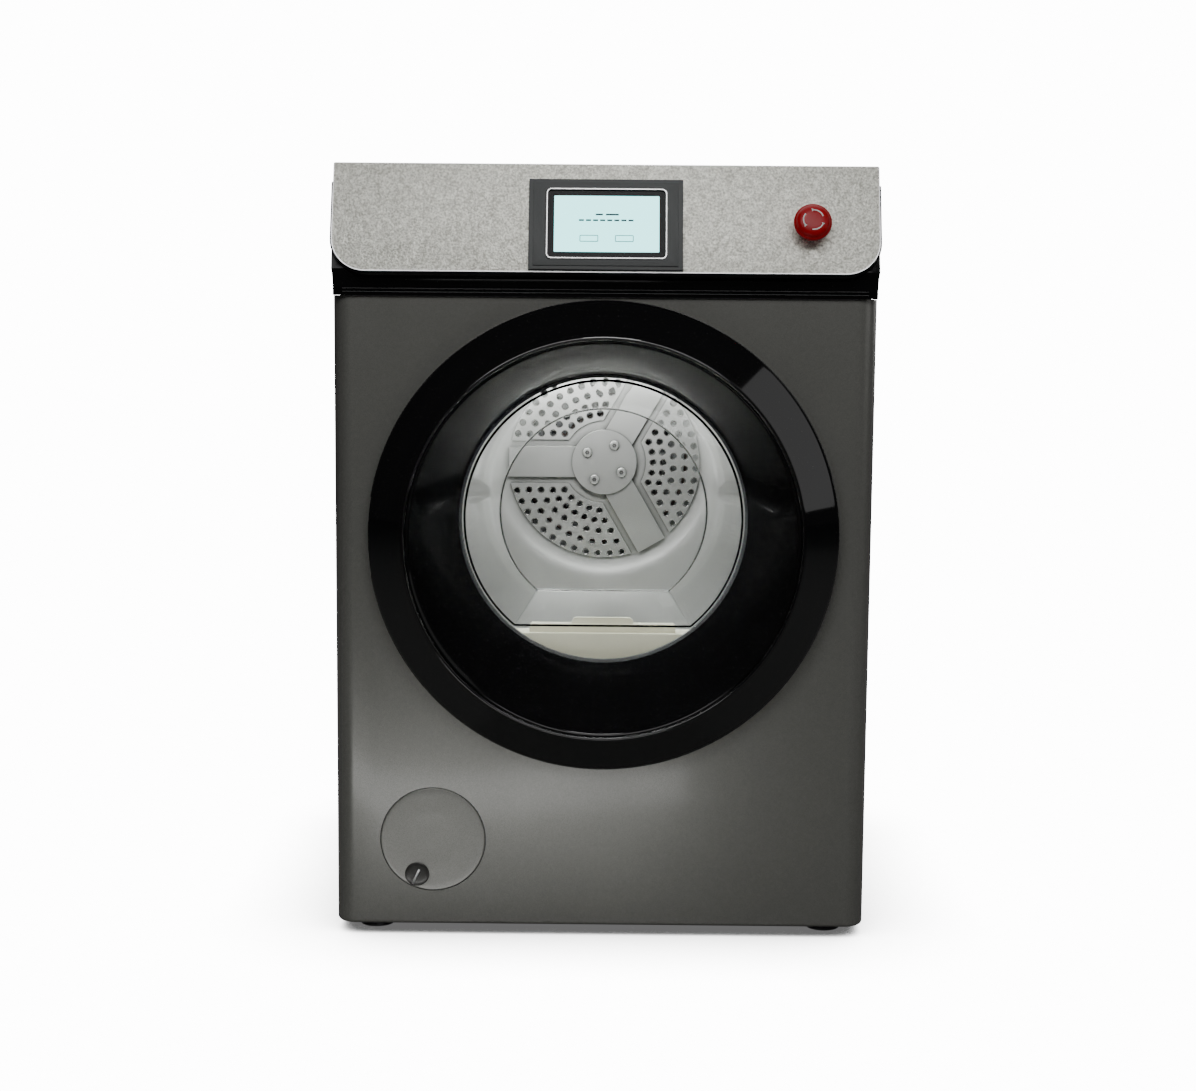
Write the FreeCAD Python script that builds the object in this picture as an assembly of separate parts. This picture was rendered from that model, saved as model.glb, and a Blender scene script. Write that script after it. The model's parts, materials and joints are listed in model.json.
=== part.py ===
"""Front-loading tumble dryer with a touch display, an emergency stop and a front vent cap.

Lengths are in millimetres. X runs to the right, Y from the front to the back and Z upwards. Every
sub-part is drawn with Y measured back from the cabinet's front plane, and write_parts moves them all so that the
origin is the bottom centre of the whole machine's box. Each function below returns the solids of one node.
"""

import FreeCAD, Part
import math
import os

Vector = FreeCAD.Vector
X_AXIS, Y_AXIS, Z_AXIS = Vector(1, 0, 0), Vector(0, 1, 0), Vector(0, 0, 1)

# ---------------------------------------------------------------- overall sizes
cabinet_width = 595.0
cabinet_depth = 540.0        # front plane to the back of the side panels
foot_height = 12.0           # floor to the bottom edge of the panels
panel_top = 715.0            # top of the front panel, where the console starts
console_height = 122.0       # of the console housing and of the side panels beside it
worktop_height = 21.0        # highest edge of the fascia above the side panels
sheet = 1.0                  # painted sheet steel
gap = 0.3                    # between pieces that move past each other
seat = 0.1                   # between pieces that sit on each other
fit = 0.06                   # radial clearance of a shaft in its bore

side_top = panel_top + console_height
top_z = side_top + worktop_height
half_width = cabinet_width / 2
inner_half = half_width - sheet
flange = 14.0                # width of the folded sheet edges

# ---------------------------------------------------------------- front panel
corner_radius = 22.0         # upright edges
hem_radius = 4.0             # bottom edge
wrap_depth = 34.0            # how far the front panel folds back round the sides

# ---------------------------------------------------------------- door
door_z = 453.5               # centre of the door ring
ring_radius = 258.0
ring_back = -7.0             # back edge of the ring's side wall
ring_side = -17.0            # front edge of the ring's side wall
crest_radius = 218.5
crest_y = -46.0              # foremost circle of the ring
ring_wall = 3.0
window_z = 467.5             # centre of the round window, above the ring's centre
window_radius = 162.5
window_y = 40.0              # where the dish meets the glass
dish_wall = 2.5
glass_wall = 4.0
glass_flange_radius = window_radius + 13.5
bowl_radius = window_radius - 5.5      # mouth of the glass bowl
bowl_taper = 35.0            # the bowl's end is this much smaller in radius than its mouth
bowl_end_radius = bowl_radius - bowl_taper
bowl_depth = 90.0
bowl_round = 7.0             # of the bowl's end outside
bowl_flat_share = 0.775      # height of the bowl's flat under its centre, as a share of its radius
frame_wall = 3.0             # part of the door that enters the front panel
frame_back = 50.0
frame_mouth_back = 20.0      # the frame opens out in front of this to pass the dish
frame_slack = 1.0            # between the dish and the frame where they are closest
plate_front, plate_back = -6.0, -4.0   # the frame's plate behind the ring
opening_slack = 0.5          # between the frame's mouth and the front panel's opening
seal_width = 10.0
hinge_x = -ring_radius + 12.5
hinge_y = -15.0
hinge_pin_radius = 2.5
hinge_barrel_radius = 4.0
hinge_half_height = 26.0
hinge_ear = 9.0
hinge_notch = 4.0            # room above and below the hinge in the ring and the frame
latch_x = ring_radius - 30.0

# ---------------------------------------------------------------- tunnel, bulkhead and drum
tunnel_wall = 3.0
tunnel_room = 7.0            # round the door's frame
tunnel_step = 57.0           # where it narrows to a circle with a flat bottom
bowl_room = 11.0             # between the bowl's mouth and the tunnel
flat_room = 9.8              # between the bowl's flat and the tunnel's
tunnel_radius = bowl_radius + bowl_room
tunnel_flat_z = window_z - bowl_flat_share * bowl_radius - flat_room
flange_margin = 6.0          # of the tunnel's flange outside the door seal
bulkhead_y = 91.0
bulkhead_sheet = 1.5
drum_z = 499.0
drum_radius = 285.0
drum_sheet = 1.0
bracket_y = cabinet_depth - 15.0       # rear crossbar that carries the drum's shaft
drum_front = bulkhead_y + bulkhead_sheet + 4.5
drum_back = bracket_y - 65.0
lip_width = 25.4             # the drum's front lip, from the shell in to its mouth
lip_depth = 13.0
felt_thickness = 5.0
felt_slack = 0.6             # between the felt and the drum's mouth
drum_mouth_radius = drum_radius - lip_width
felt_radius = drum_mouth_radius - felt_thickness - felt_slack   # rim of the bulkhead that carries the felt
lifter_count = 3
lifter_height = 52.0
lifter_half_width = 26.0

# rear wall of the drum: a raised hub, three raised spokes and three perforated sectors
rear_sheet = 1.2
hub_radius = 42.5
hub_rise = 9.0
spoke_count = 3
spoke_half_width = 20.0
spoke_rise = 6.0
sector_inner = 55.0
perforated_radius = 127.0
sector_rise = 3.0
step_radius = 156.0          # outer edge of the shallow cone round the perforations
step_rise = 7.0
hole_radius = 3.6
hole_rows = ((121.4, 12, 83.0), (106.4, 10, 78.3), (91.5, 8, 71.6), (77.6, 7, 61.6), (64.3, 5, 49.3))
hub_screw_circle = 26.0
hub_screw_angles = (60.0, 150.0, 240.0, 330.0)
hub_screw_radius = 3.0

# ---------------------------------------------------------------- drive and air path
shaft_radius = 8.0
bush_radius = 14.0
roller_radius = 30.0
roller_angle = 35.0          # of each front roller from straight under the drum
roller_axle_radius = 5.0
motor_x = 60.0
motor_z = 112.0
motor_radius = 58.0
motor_shaft_radius = 6.0
motor_front, motor_back = 185.0, 305.0
pulley_radius = 11.0
idler_x, idler_z, idler_radius = -48.0, 120.0, 20.0
arm_x, arm_z = 5.0, 55.0
arm_pin_radius = 4.0
belt_y = 330.0
belt_width = 8.0
belt_thickness = 2.0
belt_gap = 0.4
blower_front, blower_back = 100.0, 160.0
blower_radius = 85.0
wheel_radius = 72.0
inlet_radius = 50.0
blade_count = 24
duct_x, duct_z = -188.0, 110.0
duct_radius = 51.5           # outside of the exhaust duct and of the spigot
duct_wall = 2.0
duct_front = 24.0            # front end of the duct, against the vent collar's step
collar_overlap = 16.0        # of the vent collar's sleeve over the duct
collar_rim = 14.0            # of the vent collar behind the front panel, outside the vent cap
cap_margin = 7.0             # of the vent cap's face outside the duct
vent_cap_radius = duct_radius + cap_margin
vent_gap = 0.9
spigot_length = 23.0
spigot_flange = 16.0         # of the spigot on the rear panel, outside the duct
rear_hole_margin = 5.0       # of the rear panel's exhaust hole outside the duct
heater_radius = 140.0
heater_front = drum_back + 7.0

# ---------------------------------------------------------------- console, on a plane that leans back
lean = 18.0                  # degrees from upright
console_y, console_z = -24.0, panel_top + 26.5   # bottom front edge of the fascia
fascia_margin = 2.0          # the fascia is this much narrower than the cabinet on each side
fascia_thickness = 2.0
fascia_corner = 37.0
console_wall = 3.0
bezel_width, bezel_height, bezel_depth = 166.0, 102.0, 6.0
bezel_z = 1.6                # bottom of the bezel above the fascia's bottom edge
frame_line_width, frame_line_height = 130.0, 80.0
screen_width, screen_height = 118.0, 71.0
module_width, module_height, module_depth = 150.0, 88.0, 34.0
module_room = 0.5            # round the module in its cut-out
line_width = 1.2             # of the raised frame round the screen
estop_x, estop_z = 221.0, 52.0
estop_radius = 20.5
estop_reach = 27.0           # foremost point of the mushroom head from the fascia
estop_barrel_radius = 11.0
estop_stem_radius = 6.0
estop_travel = 5.5

lean_sin, lean_cos = math.sin(math.radians(lean)), math.cos(math.radians(lean))
fascia_half = half_width - fascia_margin
fascia_height = (top_z - console_z) / lean_cos
front_reach = -crest_y       # the door's crest is the foremost point
back_reach = cabinet_depth + sheet + spigot_length
front_y = (front_reach - back_reach) / 2      # where the front plane ends up in the part's frame


# ================================================================ drawing helpers
def box(x0, x1, y0, y1, z0, z1):
    return Part.makeBox(x1 - x0, y1 - y0, z1 - z0, Vector(x0, y0, z0))


def rod_y(x, z, radius, y0, y1):
    return Part.makeCylinder(radius, y1 - y0, Vector(x, y0, z), Y_AXIS)


def rod_z(x, y, radius, z0, z1):
    return Part.makeCylinder(radius, z1 - z0, Vector(x, y, z0), Z_AXIS)


def rod_x(y, z, radius, x0, x1):
    return Part.makeCylinder(radius, x1 - x0, Vector(x0, y, z), X_AXIS)


def tube_y(x, z, outer, inner, y0, y1):
    return rod_y(x, z, outer, y0, y1).cut(rod_y(x, z, inner, y0 - 1, y1 + 1))


def fused(first, *others):
    """One solid from several that overlap or meet, with the seams between them removed."""
    return first.fuse(list(others)).removeSplitter() if others else first


def prism(points, direction):
    """A polygon of points pushed along a vector."""
    wire = Part.makePolygon([Vector(*p) for p in points] + [Vector(*points[0])])
    return Part.Face(wire).extrude(direction)


def prism_x(points, x0, x1):
    """A polygon of (y, z) points, from x0 to x1."""
    return prism([(x0, y, z) for y, z in points], Vector(x1 - x0, 0, 0))


def prism_y(points, y0, y1):
    """A polygon of (x, z) points, from y0 to y1."""
    return prism([(x, y0, z) for x, z in points], Vector(0, y1 - y0, 0))


def turned(profile, x, z):
    """A ring turned about the line along Y through (x, z), from a closed profile of (radius, y) points."""
    wire = Part.makePolygon([Vector(x + r, y, z) for r, y in profile + profile[:1]])
    return Part.Face(wire).revolve(Vector(x, 0, z), Y_AXIS, 360)


def d_wire(radius, flat, x, y, z):
    """A circle cut off level at a distance flat under its centre, in an upright plane."""
    half = math.sqrt(radius**2 - flat**2)
    left, right = Vector(x - half, y, z - flat), Vector(x + half, y, z - flat)
    top = Vector(x, y, z + radius)
    return Part.Wire([Part.Arc(right, top, left).toShape(), Part.LineSegment(left, right).toShape()])


def d_prism(radius, flat, x, z, y0, y1):
    return Part.Face(d_wire(radius, flat, x, y0, z)).extrude(Vector(0, y1 - y0, 0))


def rounded_plate(width, z0, z1, y0, y1, bottom=0.0, top=0.0, x=0.0):
    """An upright plate with rounded bottom and top corners."""
    plate = box(x - width / 2, x + width / 2, y0, y1, z0, z1)
    for radius, level in ((bottom, z0), (top, z1)):
        if radius:
            edges = [e for e in plate.Edges if abs(e.CenterOfMass.z - level) < 1e-6 and along(e, Y_AXIS)]
            plate = plate.makeFillet(radius, edges)
    return plate


def along(edge, axis):
    """True if a straight edge runs along an axis."""
    if len(edge.Vertexes) != 2:
        return False
    line = edge.Vertexes[1].Point - edge.Vertexes[0].Point
    return abs(abs(line.dot(axis)) - line.Length) < 1e-6


def edges_at(shape, y):
    """Edges that lie wholly in the upright plane at y."""
    return [e for e in shape.Edges if abs(e.BoundBox.YMin - y) < 1e-6 and abs(e.BoundBox.YMax - y) < 1e-6]


def on_console(shape):
    """Moves a shape from the console's own plane, with y = 0 on the fascia's face, to its place."""
    placed = shape.copy()
    placed.rotate(Vector(0, 0, 0), X_AXIS, -lean)
    placed.translate(Vector(0, console_y, console_z))
    return placed


def spread(shape, count, x, z, first=0.0):
    """Copies of a shape, evenly turned about the line along Y through (x, z)."""
    copies = []
    for i in range(count):
        copy = shape.copy()
        copy.rotate(Vector(x, 0, z), Y_AXIS, first + i * 360.0 / count)
        copies.append(copy)
    return copies


def polar(radius, degrees, x=0.0, z=0.0):
    """(x, z) of a point at an angle from +X towards +Z."""
    return x + radius * math.cos(math.radians(degrees)), z + radius * math.sin(math.radians(degrees))


# ================================================================ sizes that follow from the door's dish
dish_front = crest_y + 5.0
dish_rim_radius = crest_radius - 3.0 - seat


def dish_circle(share, inset=0.0):
    """Radius, y and centre height of the dish, from its rim (0) to the window (1)."""
    radius = dish_rim_radius + share * (window_radius - dish_rim_radius) - inset
    return radius, dish_front + share * (window_y - dish_front), door_z + share * (window_z - door_z)


def room_for_dish(y):
    """Radius about the window's centre that clears the dish at y."""
    radius, _, z = dish_circle((y - dish_front) / (window_y - dish_front))
    return radius + abs(window_z - z) + frame_slack


frame_radius = room_for_dish(frame_mouth_back) + frame_wall
frame_mouth_radius = room_for_dish(plate_front)
door_opening_radius = frame_mouth_radius + frame_wall + 1 + opening_slack
seal_radius = door_opening_radius + seal_width
tunnel_flange_radius = seal_radius + flange_margin
tunnel_front_radius = frame_radius + tunnel_room


# ================================================================ cabinet
foot_places = [(x, y) for x in (-half_width + 42, half_width - 42) for y in (45.0, cabinet_depth - 45)]
tray_z = foot_height + sheet
tray_floor = tray_z + 2.0
tray_rim = 30.0
tray_wall = 2.0
foot_boss_radius, foot_stud_radius = 12.0, 5.0
screw_radius, screw_head_radius, screw_head = 2.0, 4.0, 2.4
screw_inset = 8.0            # of the rear screws from the cabinet's sides
screw_places = [(s * (half_width - screw_inset), z) for s in (-1, 1)
                for z in (60.0, 240.0, 420.0, 600.0, 780.0)]
louvre_columns = (-95.0, 0.0, 95.0)
louvre_rows, louvre_z, louvre_pitch = 11, 390.0, 20.0
louvre_width, louvre_height, louvre_round = 76.0, 7.0, 3.4


def base_tray():
    """Shallow tray that closes the bottom, with a boss for each foot."""
    y0, y1 = hem_radius + 2, cabinet_depth - sheet - seat
    half = inner_half - seat
    tray = box(-half, half, y0, y1, tray_z, tray_floor + tray_rim)
    inner = half - tray_wall
    tray = tray.cut(box(-inner, inner, y0 + tray_wall, y1 - tray_wall, tray_floor, tray_floor + tray_rim + 1))
    tray = tray.cut([corner_relief(y0, half)] + hem_relief(half))
    for x, y in foot_places:
        tray = tray.fuse(rod_z(x, y, foot_boss_radius, tray_floor - 1, tray_floor + 16))
    for x, y in foot_places:
        tray = tray.cut(rod_z(x, y, foot_stud_radius + fit, tray_z - 1, tray_floor + 20))
    return tray.removeSplitter()


def hem_relief(half):
    """Chamfers under the tray's long edges, inside the front panel's hem."""
    side = hem_radius - sheet + seat
    return [prism_y([(s * half, tray_z), (s * half, tray_z + side), (s * (half - side), tray_z)], 0,
                    cabinet_depth)
            for s in (-1, 1)]


def corner_relief(y0, half):
    """Corners that keep the tray inside the front panel's rounded upright edges."""
    reach = corner_radius - hem_radius
    cuts = [
        prism([(s * (half + 1), y0 - 1, tray_z - 1), (s * (half + 1), y0 + reach, tray_z - 1),
               (s * (half - reach), y0 - 1, tray_z - 1)], Vector(0, 0, tray_rim + 10))
        for s in (-1, 1)
    ]
    return Part.makeCompound(cuts)


def side_panel(side):
    """Sheet steel side with a return flange at the back, top and bottom."""
    skin = [(wrap_depth, foot_height), (cabinet_depth, foot_height), (cabinet_depth, side_top - seat),
            (console_back, side_top - seat), (console_back, panel_top), (wrap_depth, panel_top)]
    x0, x1 = sorted((side * inner_half, side * half_width))
    panel = prism_x(skin, x0, x1)
    f0, f1 = sorted((side * (half_width - flange), side * half_width))
    panel = panel.fuse([
        box(f0, f1, cabinet_depth - sheet, cabinet_depth, foot_height, side_top - seat),
        box(f0, f1, wrap_depth, cabinet_depth, foot_height, foot_height + sheet),
        box(f0, f1, console_back, cabinet_depth, side_top - seat - sheet, side_top - seat),
    ])
    for x, z in screw_places:
        if x * side > 0:
            panel = panel.cut(rod_y(x, z, screw_radius + fit, cabinet_depth - 3, cabinet_depth + 1))
    return panel.removeSplitter()


def rounded_block(inset, z0, z1, y1):
    """The front panel's outline as a solid block, drawn in by an inset."""
    half, radius = half_width - inset, corner_radius - inset
    bend = radius * (1 - math.sqrt(0.5))
    left = [Vector(-half, y1, z0), Vector(-half, inset + radius, z0), Vector(-half + bend, inset + bend, z0),
            Vector(-half + radius, inset, z0)]
    right = [Vector(-p.x, p.y, p.z) for p in left]
    wire = Part.Wire([
        Part.LineSegment(left[0], left[1]).toShape(), Part.Arc(left[1], left[2], left[3]).toShape(),
        Part.LineSegment(left[3], right[3]).toShape(), Part.Arc(right[3], right[2], right[1]).toShape(),
        Part.LineSegment(right[1], right[0]).toShape(), Part.LineSegment(right[0], left[0]).toShape(),
    ])
    block = Part.Face(wire).extrude(Vector(0, 0, z1 - z0))
    edges = [e for e in block.Edges if abs(e.BoundBox.ZMax - z0) < 1e-6 and e.BoundBox.YMin < y1 - 0.01]
    return block.makeFillet(hem_radius - inset, edges)


def front_panel():
    """Pressed front with rounded upright edges, the door opening, the latch slot and the vent hole."""
    panel = rounded_block(0.0, foot_height, panel_top, wrap_depth)
    panel = panel.cut(rounded_block(sheet, foot_height + sheet, panel_top - sheet, wrap_depth + 1))
    panel = panel.cut(box(-half_width, half_width, flange, wrap_depth + 1, foot_height - 1,
                          foot_height + sheet))
    panel = panel.cut(rod_y(0, window_z, door_opening_radius, -1, 3))
    panel = panel.cut(box(latch_x - 8, latch_x + 9, -1, 3, door_z - 17, door_z + 17))
    panel = panel.cut(rod_y(duct_x, duct_z, vent_cap_radius + vent_gap, -1, 3))
    return panel.removeSplitter()


def rear_panel():
    """Flat back with air louvres, the exhaust hole and the cable hole."""
    y0, y1 = cabinet_depth, cabinet_depth + sheet
    panel = box(-half_width + 1, half_width - 1, y0, y1, foot_height + 4, side_top - 2)
    cuts = [rod_y(duct_x, duct_z, duct_radius + rear_hole_margin, y0 - 1, y1 + 1),
            rod_y(gland_x, gland_z, gland_radius, y0 - 1, y1 + 1)]
    cuts += [rod_y(x, z, screw_radius + fit, y0 - 1, y1 + 1) for x, z in screw_places]
    for column in louvre_columns:
        for row in range(louvre_rows):
            z = louvre_z + row * louvre_pitch
            cuts.append(rounded_plate(louvre_width, z, z + louvre_height, y0 - 1, y1 + 1, louvre_round,
                                      louvre_round,
                                      column))
    return panel.cut(Part.makeCompound(cuts)).removeSplitter()


def behind_fascia(z):
    """Y of the surface just behind the fascia at a height."""
    return console_y + (z - console_z) * lean_sin / lean_cos + (fascia_thickness + seat) / lean_cos


def worktop():
    """Top slab, hollow below, whose front edge follows the leaning fascia."""
    z0, z1, back, half = side_top + seat, top_z - 0.5, cabinet_depth, fascia_half - 2.5
    slab = prism_x([(behind_fascia(z0), z0), (behind_fascia(z1), z1), (back, z1), (back, z0)], -half, half)
    edges = [e for e in slab.Edges if along(e, Y_AXIS) and abs(e.CenterOfMass.z - z1) < 0.01]
    slab = slab.makeFillet(4.0, edges)
    front = behind_fascia(z1) + 3
    hollow = box(-half + 2, half - 2, front, back - 2, z0 - 1, z1 - 2)
    ribs = [box(-half + 1, half - 1, y, y + 2, z0, z1 - 1)
            for y in (cabinet_depth - 390, cabinet_depth - 250, cabinet_depth - 110)]
    return slab.cut(hollow).fuse(ribs).removeSplitter()


def levelling_feet():
    """Four screw feet: a pad, a hexagon to turn it by and a stud in the tray's boss."""
    feet = []
    for x, y in foot_places:
        hexagon = Part.Face(Part.makePolygon([Vector(x + 9 * math.cos(a), y + 9 * math.sin(a), 6.5)
                                              for a in (math.radians(60 * i) for i in range(7))]))
        pad = Part.makeCone(19, 15, 7, Vector(x, y, 0), Z_AXIS)
        feet.append(fused(pad, hexagon.extrude(Vector(0, 0, 5.5)),
                          rod_z(x, y, foot_stud_radius, 6, tray_floor + 14)))
    return feet


def panel_screws():
    """Pan head screws that hold the rear panel to the side panels' flanges."""
    screws = []
    face, round_off, arm, half_slot = cabinet_depth + sheet, screw_head / 2, 2.4, 0.5
    for x, z in screw_places:
        head = rod_y(x, z, screw_head_radius, face, face + screw_head)
        head = head.makeFillet(round_off, [e for e in head.Edges
                                           if e.CenterOfMass.y > face + screw_head - 0.1])
        cross = [box(x - a, x + a, face + round_off, face + screw_head + 1, z - b, z + b)
                 for a, b in ((half_slot, arm), (arm, half_slot))]
        screws.append(fused(head.cut(cross), rod_y(x, z, screw_radius, cabinet_depth - 6, face + 0.5)))
    return screws


# ================================================================ console
console_back = 70.0          # back edge of the console housing
body_front = fascia_thickness + 4.0   # the housing's body lies this far behind the fascia's face
console_lip = -4.0           # foremost point of the housing's foot


def slope_point(along_slope, behind):
    """(y, z) of a point up the console's slope and behind the fascia's face."""
    return (console_y + along_slope * lean_sin + behind * lean_cos,
            console_z + along_slope * lean_cos - behind * lean_sin)


def console_profile(inset):
    """Cross-section of the console housing, drawn in by an inset: a coved foot and a leaning front."""
    y0, z0 = console_lip + inset, panel_top + seat + inset
    foot, knee = (y0, z0 + 5), slope_point(4, body_front + inset)
    middle = ((foot[0] + knee[0]) / 2 + 2.5, (foot[1] + knee[1]) / 2 + 2.5)
    z1 = side_top - inset
    top_y = console_y + (z1 - console_z) * lean_sin / lean_cos + (body_front + inset) / lean_cos
    back = console_back + inset
    points = [Vector(0, *place) for place in ((back, z0), (y0, z0), foot, middle, knee, (top_y, z1),
                                              (back, z1))]
    edges = [Part.LineSegment(points[0], points[1]).toShape(),
             Part.LineSegment(points[1], points[2]).toShape(),
             Part.Arc(points[2], points[3], points[4]).toShape(),
             Part.LineSegment(points[4], points[5]).toShape(),
             Part.LineSegment(points[5], points[6]).toShape(),
             Part.LineSegment(points[6], points[0]).toShape()]
    return Part.Face(Part.Wire(edges))


def console_housing():
    """Gloss housing: a leaning front slab with rounded lower corners on a body with a coved foot."""
    slope_top = (side_top - console_z) / lean_cos
    slab = rounded_plate(cabinet_width, -3.0, slope_top + 12, fascia_thickness, fascia_thickness + 15,
                         bottom=fascia_corner + 3)
    slab = on_console(slab).cut(box(-400, 400, -200, 300, side_top, side_top + 50))
    face = console_profile(0.0)
    face.translate(Vector(-half_width + 2.0, 0, 0))
    outside = face.extrude(Vector(cabinet_width - 4.0, 0, 0)).fuse(slab).removeSplitter()
    face = console_profile(console_wall)
    face.translate(Vector(-half_width + 2.0 + console_wall, 0, 0))
    inside = face.extrude(Vector(cabinet_width - 4.0 - 2 * console_wall, 0, 0))
    return outside.cut([inside] + [on_console(hole) for hole in console_holes()]).removeSplitter()


def console_holes():
    """Cut-outs for the display's module and the stop button's barrel."""
    half = module_width / 2 + module_room
    z0, z1 = (bezel_z + (bezel_height + s * module_height) / 2 + s * module_room for s in (-1, 1))
    return [box(-half, half, -20, 60, z0, z1), rod_y(estop_x, estop_z, estop_barrel_radius + seat, -5, 60)]


def fascia_plate():
    """Textured metal plate with rounded lower corners, cut out for the display and the stop button."""
    plate = rounded_plate(2 * fascia_half, 0, fascia_height, 0, fascia_thickness, bottom=fascia_corner)
    return on_console(plate.cut(console_holes()))


def display_bezel():
    """Display frame with a stepped edge and a raised rounded frame round the glass."""
    top = bezel_z + bezel_height
    bezel = box(-bezel_width / 2, bezel_width / 2, -bezel_depth + 1.5, 0, bezel_z, top)
    raised = box(-bezel_width / 2 + 5, bezel_width / 2 - 5, -bezel_depth, -1, bezel_z + 4, top - 4)
    rim = bezel_plate(0.0, -bezel_depth - 1, -1, 5)
    well = bezel_plate(line_width, -bezel_depth - 2, -bezel_depth + 3.5, 3.8)
    window_half, middle, reach = screen_width / 2 + 3, bezel_z + bezel_height / 2, screen_height / 2 + 2
    window = box(-window_half, window_half, -20, 20, middle - reach, middle + reach)
    return on_console(bezel.fuse([raised, rim]).cut(well).cut(window).removeSplitter())


def bezel_plate(inset, y0, y1, corner):
    """A plate with the outline of the raised frame, drawn in by an inset."""
    middle, half = bezel_z + bezel_height / 2, frame_line_height / 2 - inset
    return rounded_plate(frame_line_width - 2 * inset, middle - half, middle + half, y0, y1, corner, corner)


def display_glass():
    """Touch panel in the bezel's well."""
    return on_console(bezel_plate(line_width + 2 * seat, -bezel_depth + 1.2, -bezel_depth + 3.5, 3.6))


def display_module():
    """Electronics case behind the bezel, with its connector block."""
    z0 = bezel_z + (bezel_height - module_height) / 2
    case = box(-module_width / 2, module_width / 2, seat, module_depth, z0, z0 + module_height)
    connector = box(-30, 30, module_depth - 1, module_depth + 8, z0 + 6, z0 + 18)
    return on_console(fused(case, connector))


def estop_collar():
    """Threaded barrel with a front collar, and the nut that clamps it to the console."""
    barrel = fused(rod_y(estop_x, estop_z, 15, -4, 0), rod_y(estop_x, estop_z, estop_barrel_radius, -1, 28))
    barrel = barrel.cut(rod_y(estop_x, estop_z, estop_stem_radius + fit, -5, 29))
    nut_y = body_front + console_wall + seat
    corners = [polar(17, 60 * i, estop_x, estop_z) for i in range(6)]
    nut = prism_y(corners, nut_y, nut_y + 5).cut(rod_y(estop_x, estop_z, estop_barrel_radius + seat, 0, 20))
    return [on_console(barrel), on_console(nut)]


def estop_contact_block():
    """Switch block at the back of the barrel, with room for the stem's travel."""
    block = box(estop_x - 20, estop_x + 20, 28 + seat, 62, estop_z - 15, estop_z + 15)
    return on_console(block.cut(rod_y(estop_x, estop_z, estop_stem_radius + 0.6, 27, 27 + estop_travel + 4)))


def estop_stem():
    """Push rod of the stop button, thinner where the head turns on it."""
    return on_console(fused(rod_y(estop_x, estop_z, estop_stem_radius, -13, 27),
                            rod_y(estop_x, estop_z, 5, -21, -12)))


def estop_head():
    """Mushroom head with a domed face and three finger flats."""
    neck, rim = -13 - seat, -estop_reach
    profile = [(0, neck), (13, neck), (13, neck - 1.5), (estop_radius, neck - 3.5), (estop_radius, rim + 5.5),
               (estop_radius - 1.6, rim + 2.4), (estop_radius - 5, rim + 0.8), (9, rim), (0, rim)]
    head = turned(profile, estop_x, estop_z)
    return on_console(head.cut(rod_y(estop_x, estop_z, 5 + fit, -21 - seat, 0)))


# ================================================================ door
def door_ring():
    """Gloss ring: a side wall, a cone up to the crest and a lip that holds the dish."""
    wall = ring_wall
    slope = (crest_y - ring_side) / (crest_radius - ring_radius)
    drop = wall * math.sqrt(1 + slope**2)
    inner = ring_radius - wall
    profile = [(ring_radius, ring_back), (ring_radius + 0.6, ring_side + 2),
               (ring_radius - 1.2, ring_side - 1.0),
               (crest_radius + 1.5, crest_y + 0.2), (crest_radius, crest_y), (crest_radius - 2.4, crest_y),
               (crest_radius - 3, crest_y + 0.6), (crest_radius - 3, crest_y + 7),
               (crest_radius, crest_y + 7),
               (crest_radius, crest_y + drop + 0.5),
               (inner, ring_side + drop + (inner - ring_radius) * slope),
               (inner, ring_back)]
    return turned(profile, 0, door_z).cut(hinge_room()).removeSplitter()


def dish_solid(inset):
    wires = []
    for share in (0.0, 1.0):
        radius, y, z = dish_circle(share, inset)
        wires.append(Part.Wire([Part.Circle(Vector(0, y, z), Y_AXIS, radius).toShape()]))
    return Part.makeLoft(wires, True, True)


def door_dish():
    """Tilted cone from the ring's lip in to the window."""
    return dish_solid(0.0).cut(dish_solid(dish_wall))


glass_front = window_y + seat
bowl_back = window_y + seat + bowl_depth


def bowl_solid(inset, y0, y1):
    """The bowl's outside, or with an inset its inside, lofted between two flat-bottomed circles and closed."""
    wires = []
    for share in (0.0, 1.0):
        radius = bowl_radius + share * (bowl_end_radius - bowl_radius)
        flat = bowl_flat_share * radius - inset
        wires.append(d_wire(radius - inset, flat, 0, y0 + share * (y1 - y0), window_z))
    return Part.makeLoft(wires, True, True)


def door_glass():
    """Glass bowl with a flat bottom, a closed back and a round flange."""
    outside = bowl_solid(0.0, glass_front, bowl_back)
    outside = outside.makeFillet(bowl_round, edges_at(outside, bowl_back))
    inside = bowl_solid(glass_wall, glass_front - 0.001, bowl_back - glass_wall)
    inside = inside.makeFillet(bowl_round - glass_wall + 1, edges_at(inside, bowl_back - glass_wall))
    disc = rod_y(0, window_z, glass_flange_radius, glass_front, glass_front + glass_wall)
    return disc.fuse(outside).cut(inside).removeSplitter()


def door_frame():
    """Inner frame: a plate behind the ring, a funnel and drum round the dish and a rim behind the glass flange."""
    rim_front, wall = glass_front + glass_wall + seat, frame_wall
    inner = frame_radius - wall
    profile = [(frame_mouth_radius, plate_front), (frame_mouth_radius + wall + 1, plate_front),
               (frame_radius, frame_mouth_back + 2),
               (frame_radius, frame_back), (bowl_radius + 2, frame_back), (bowl_radius + 2, rim_front),
               (inner, rim_front),
               (inner, frame_mouth_back)]
    plate = rod_y(0, door_z, ring_radius - ring_wall - seat, plate_front, plate_back)
    plate = plate.cut(rod_y(0, window_z, frame_mouth_radius + 1, plate_front - 1, plate_back + 1))
    return plate.fuse(turned(profile, 0, window_z)).cut(hinge_room()).removeSplitter()


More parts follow.
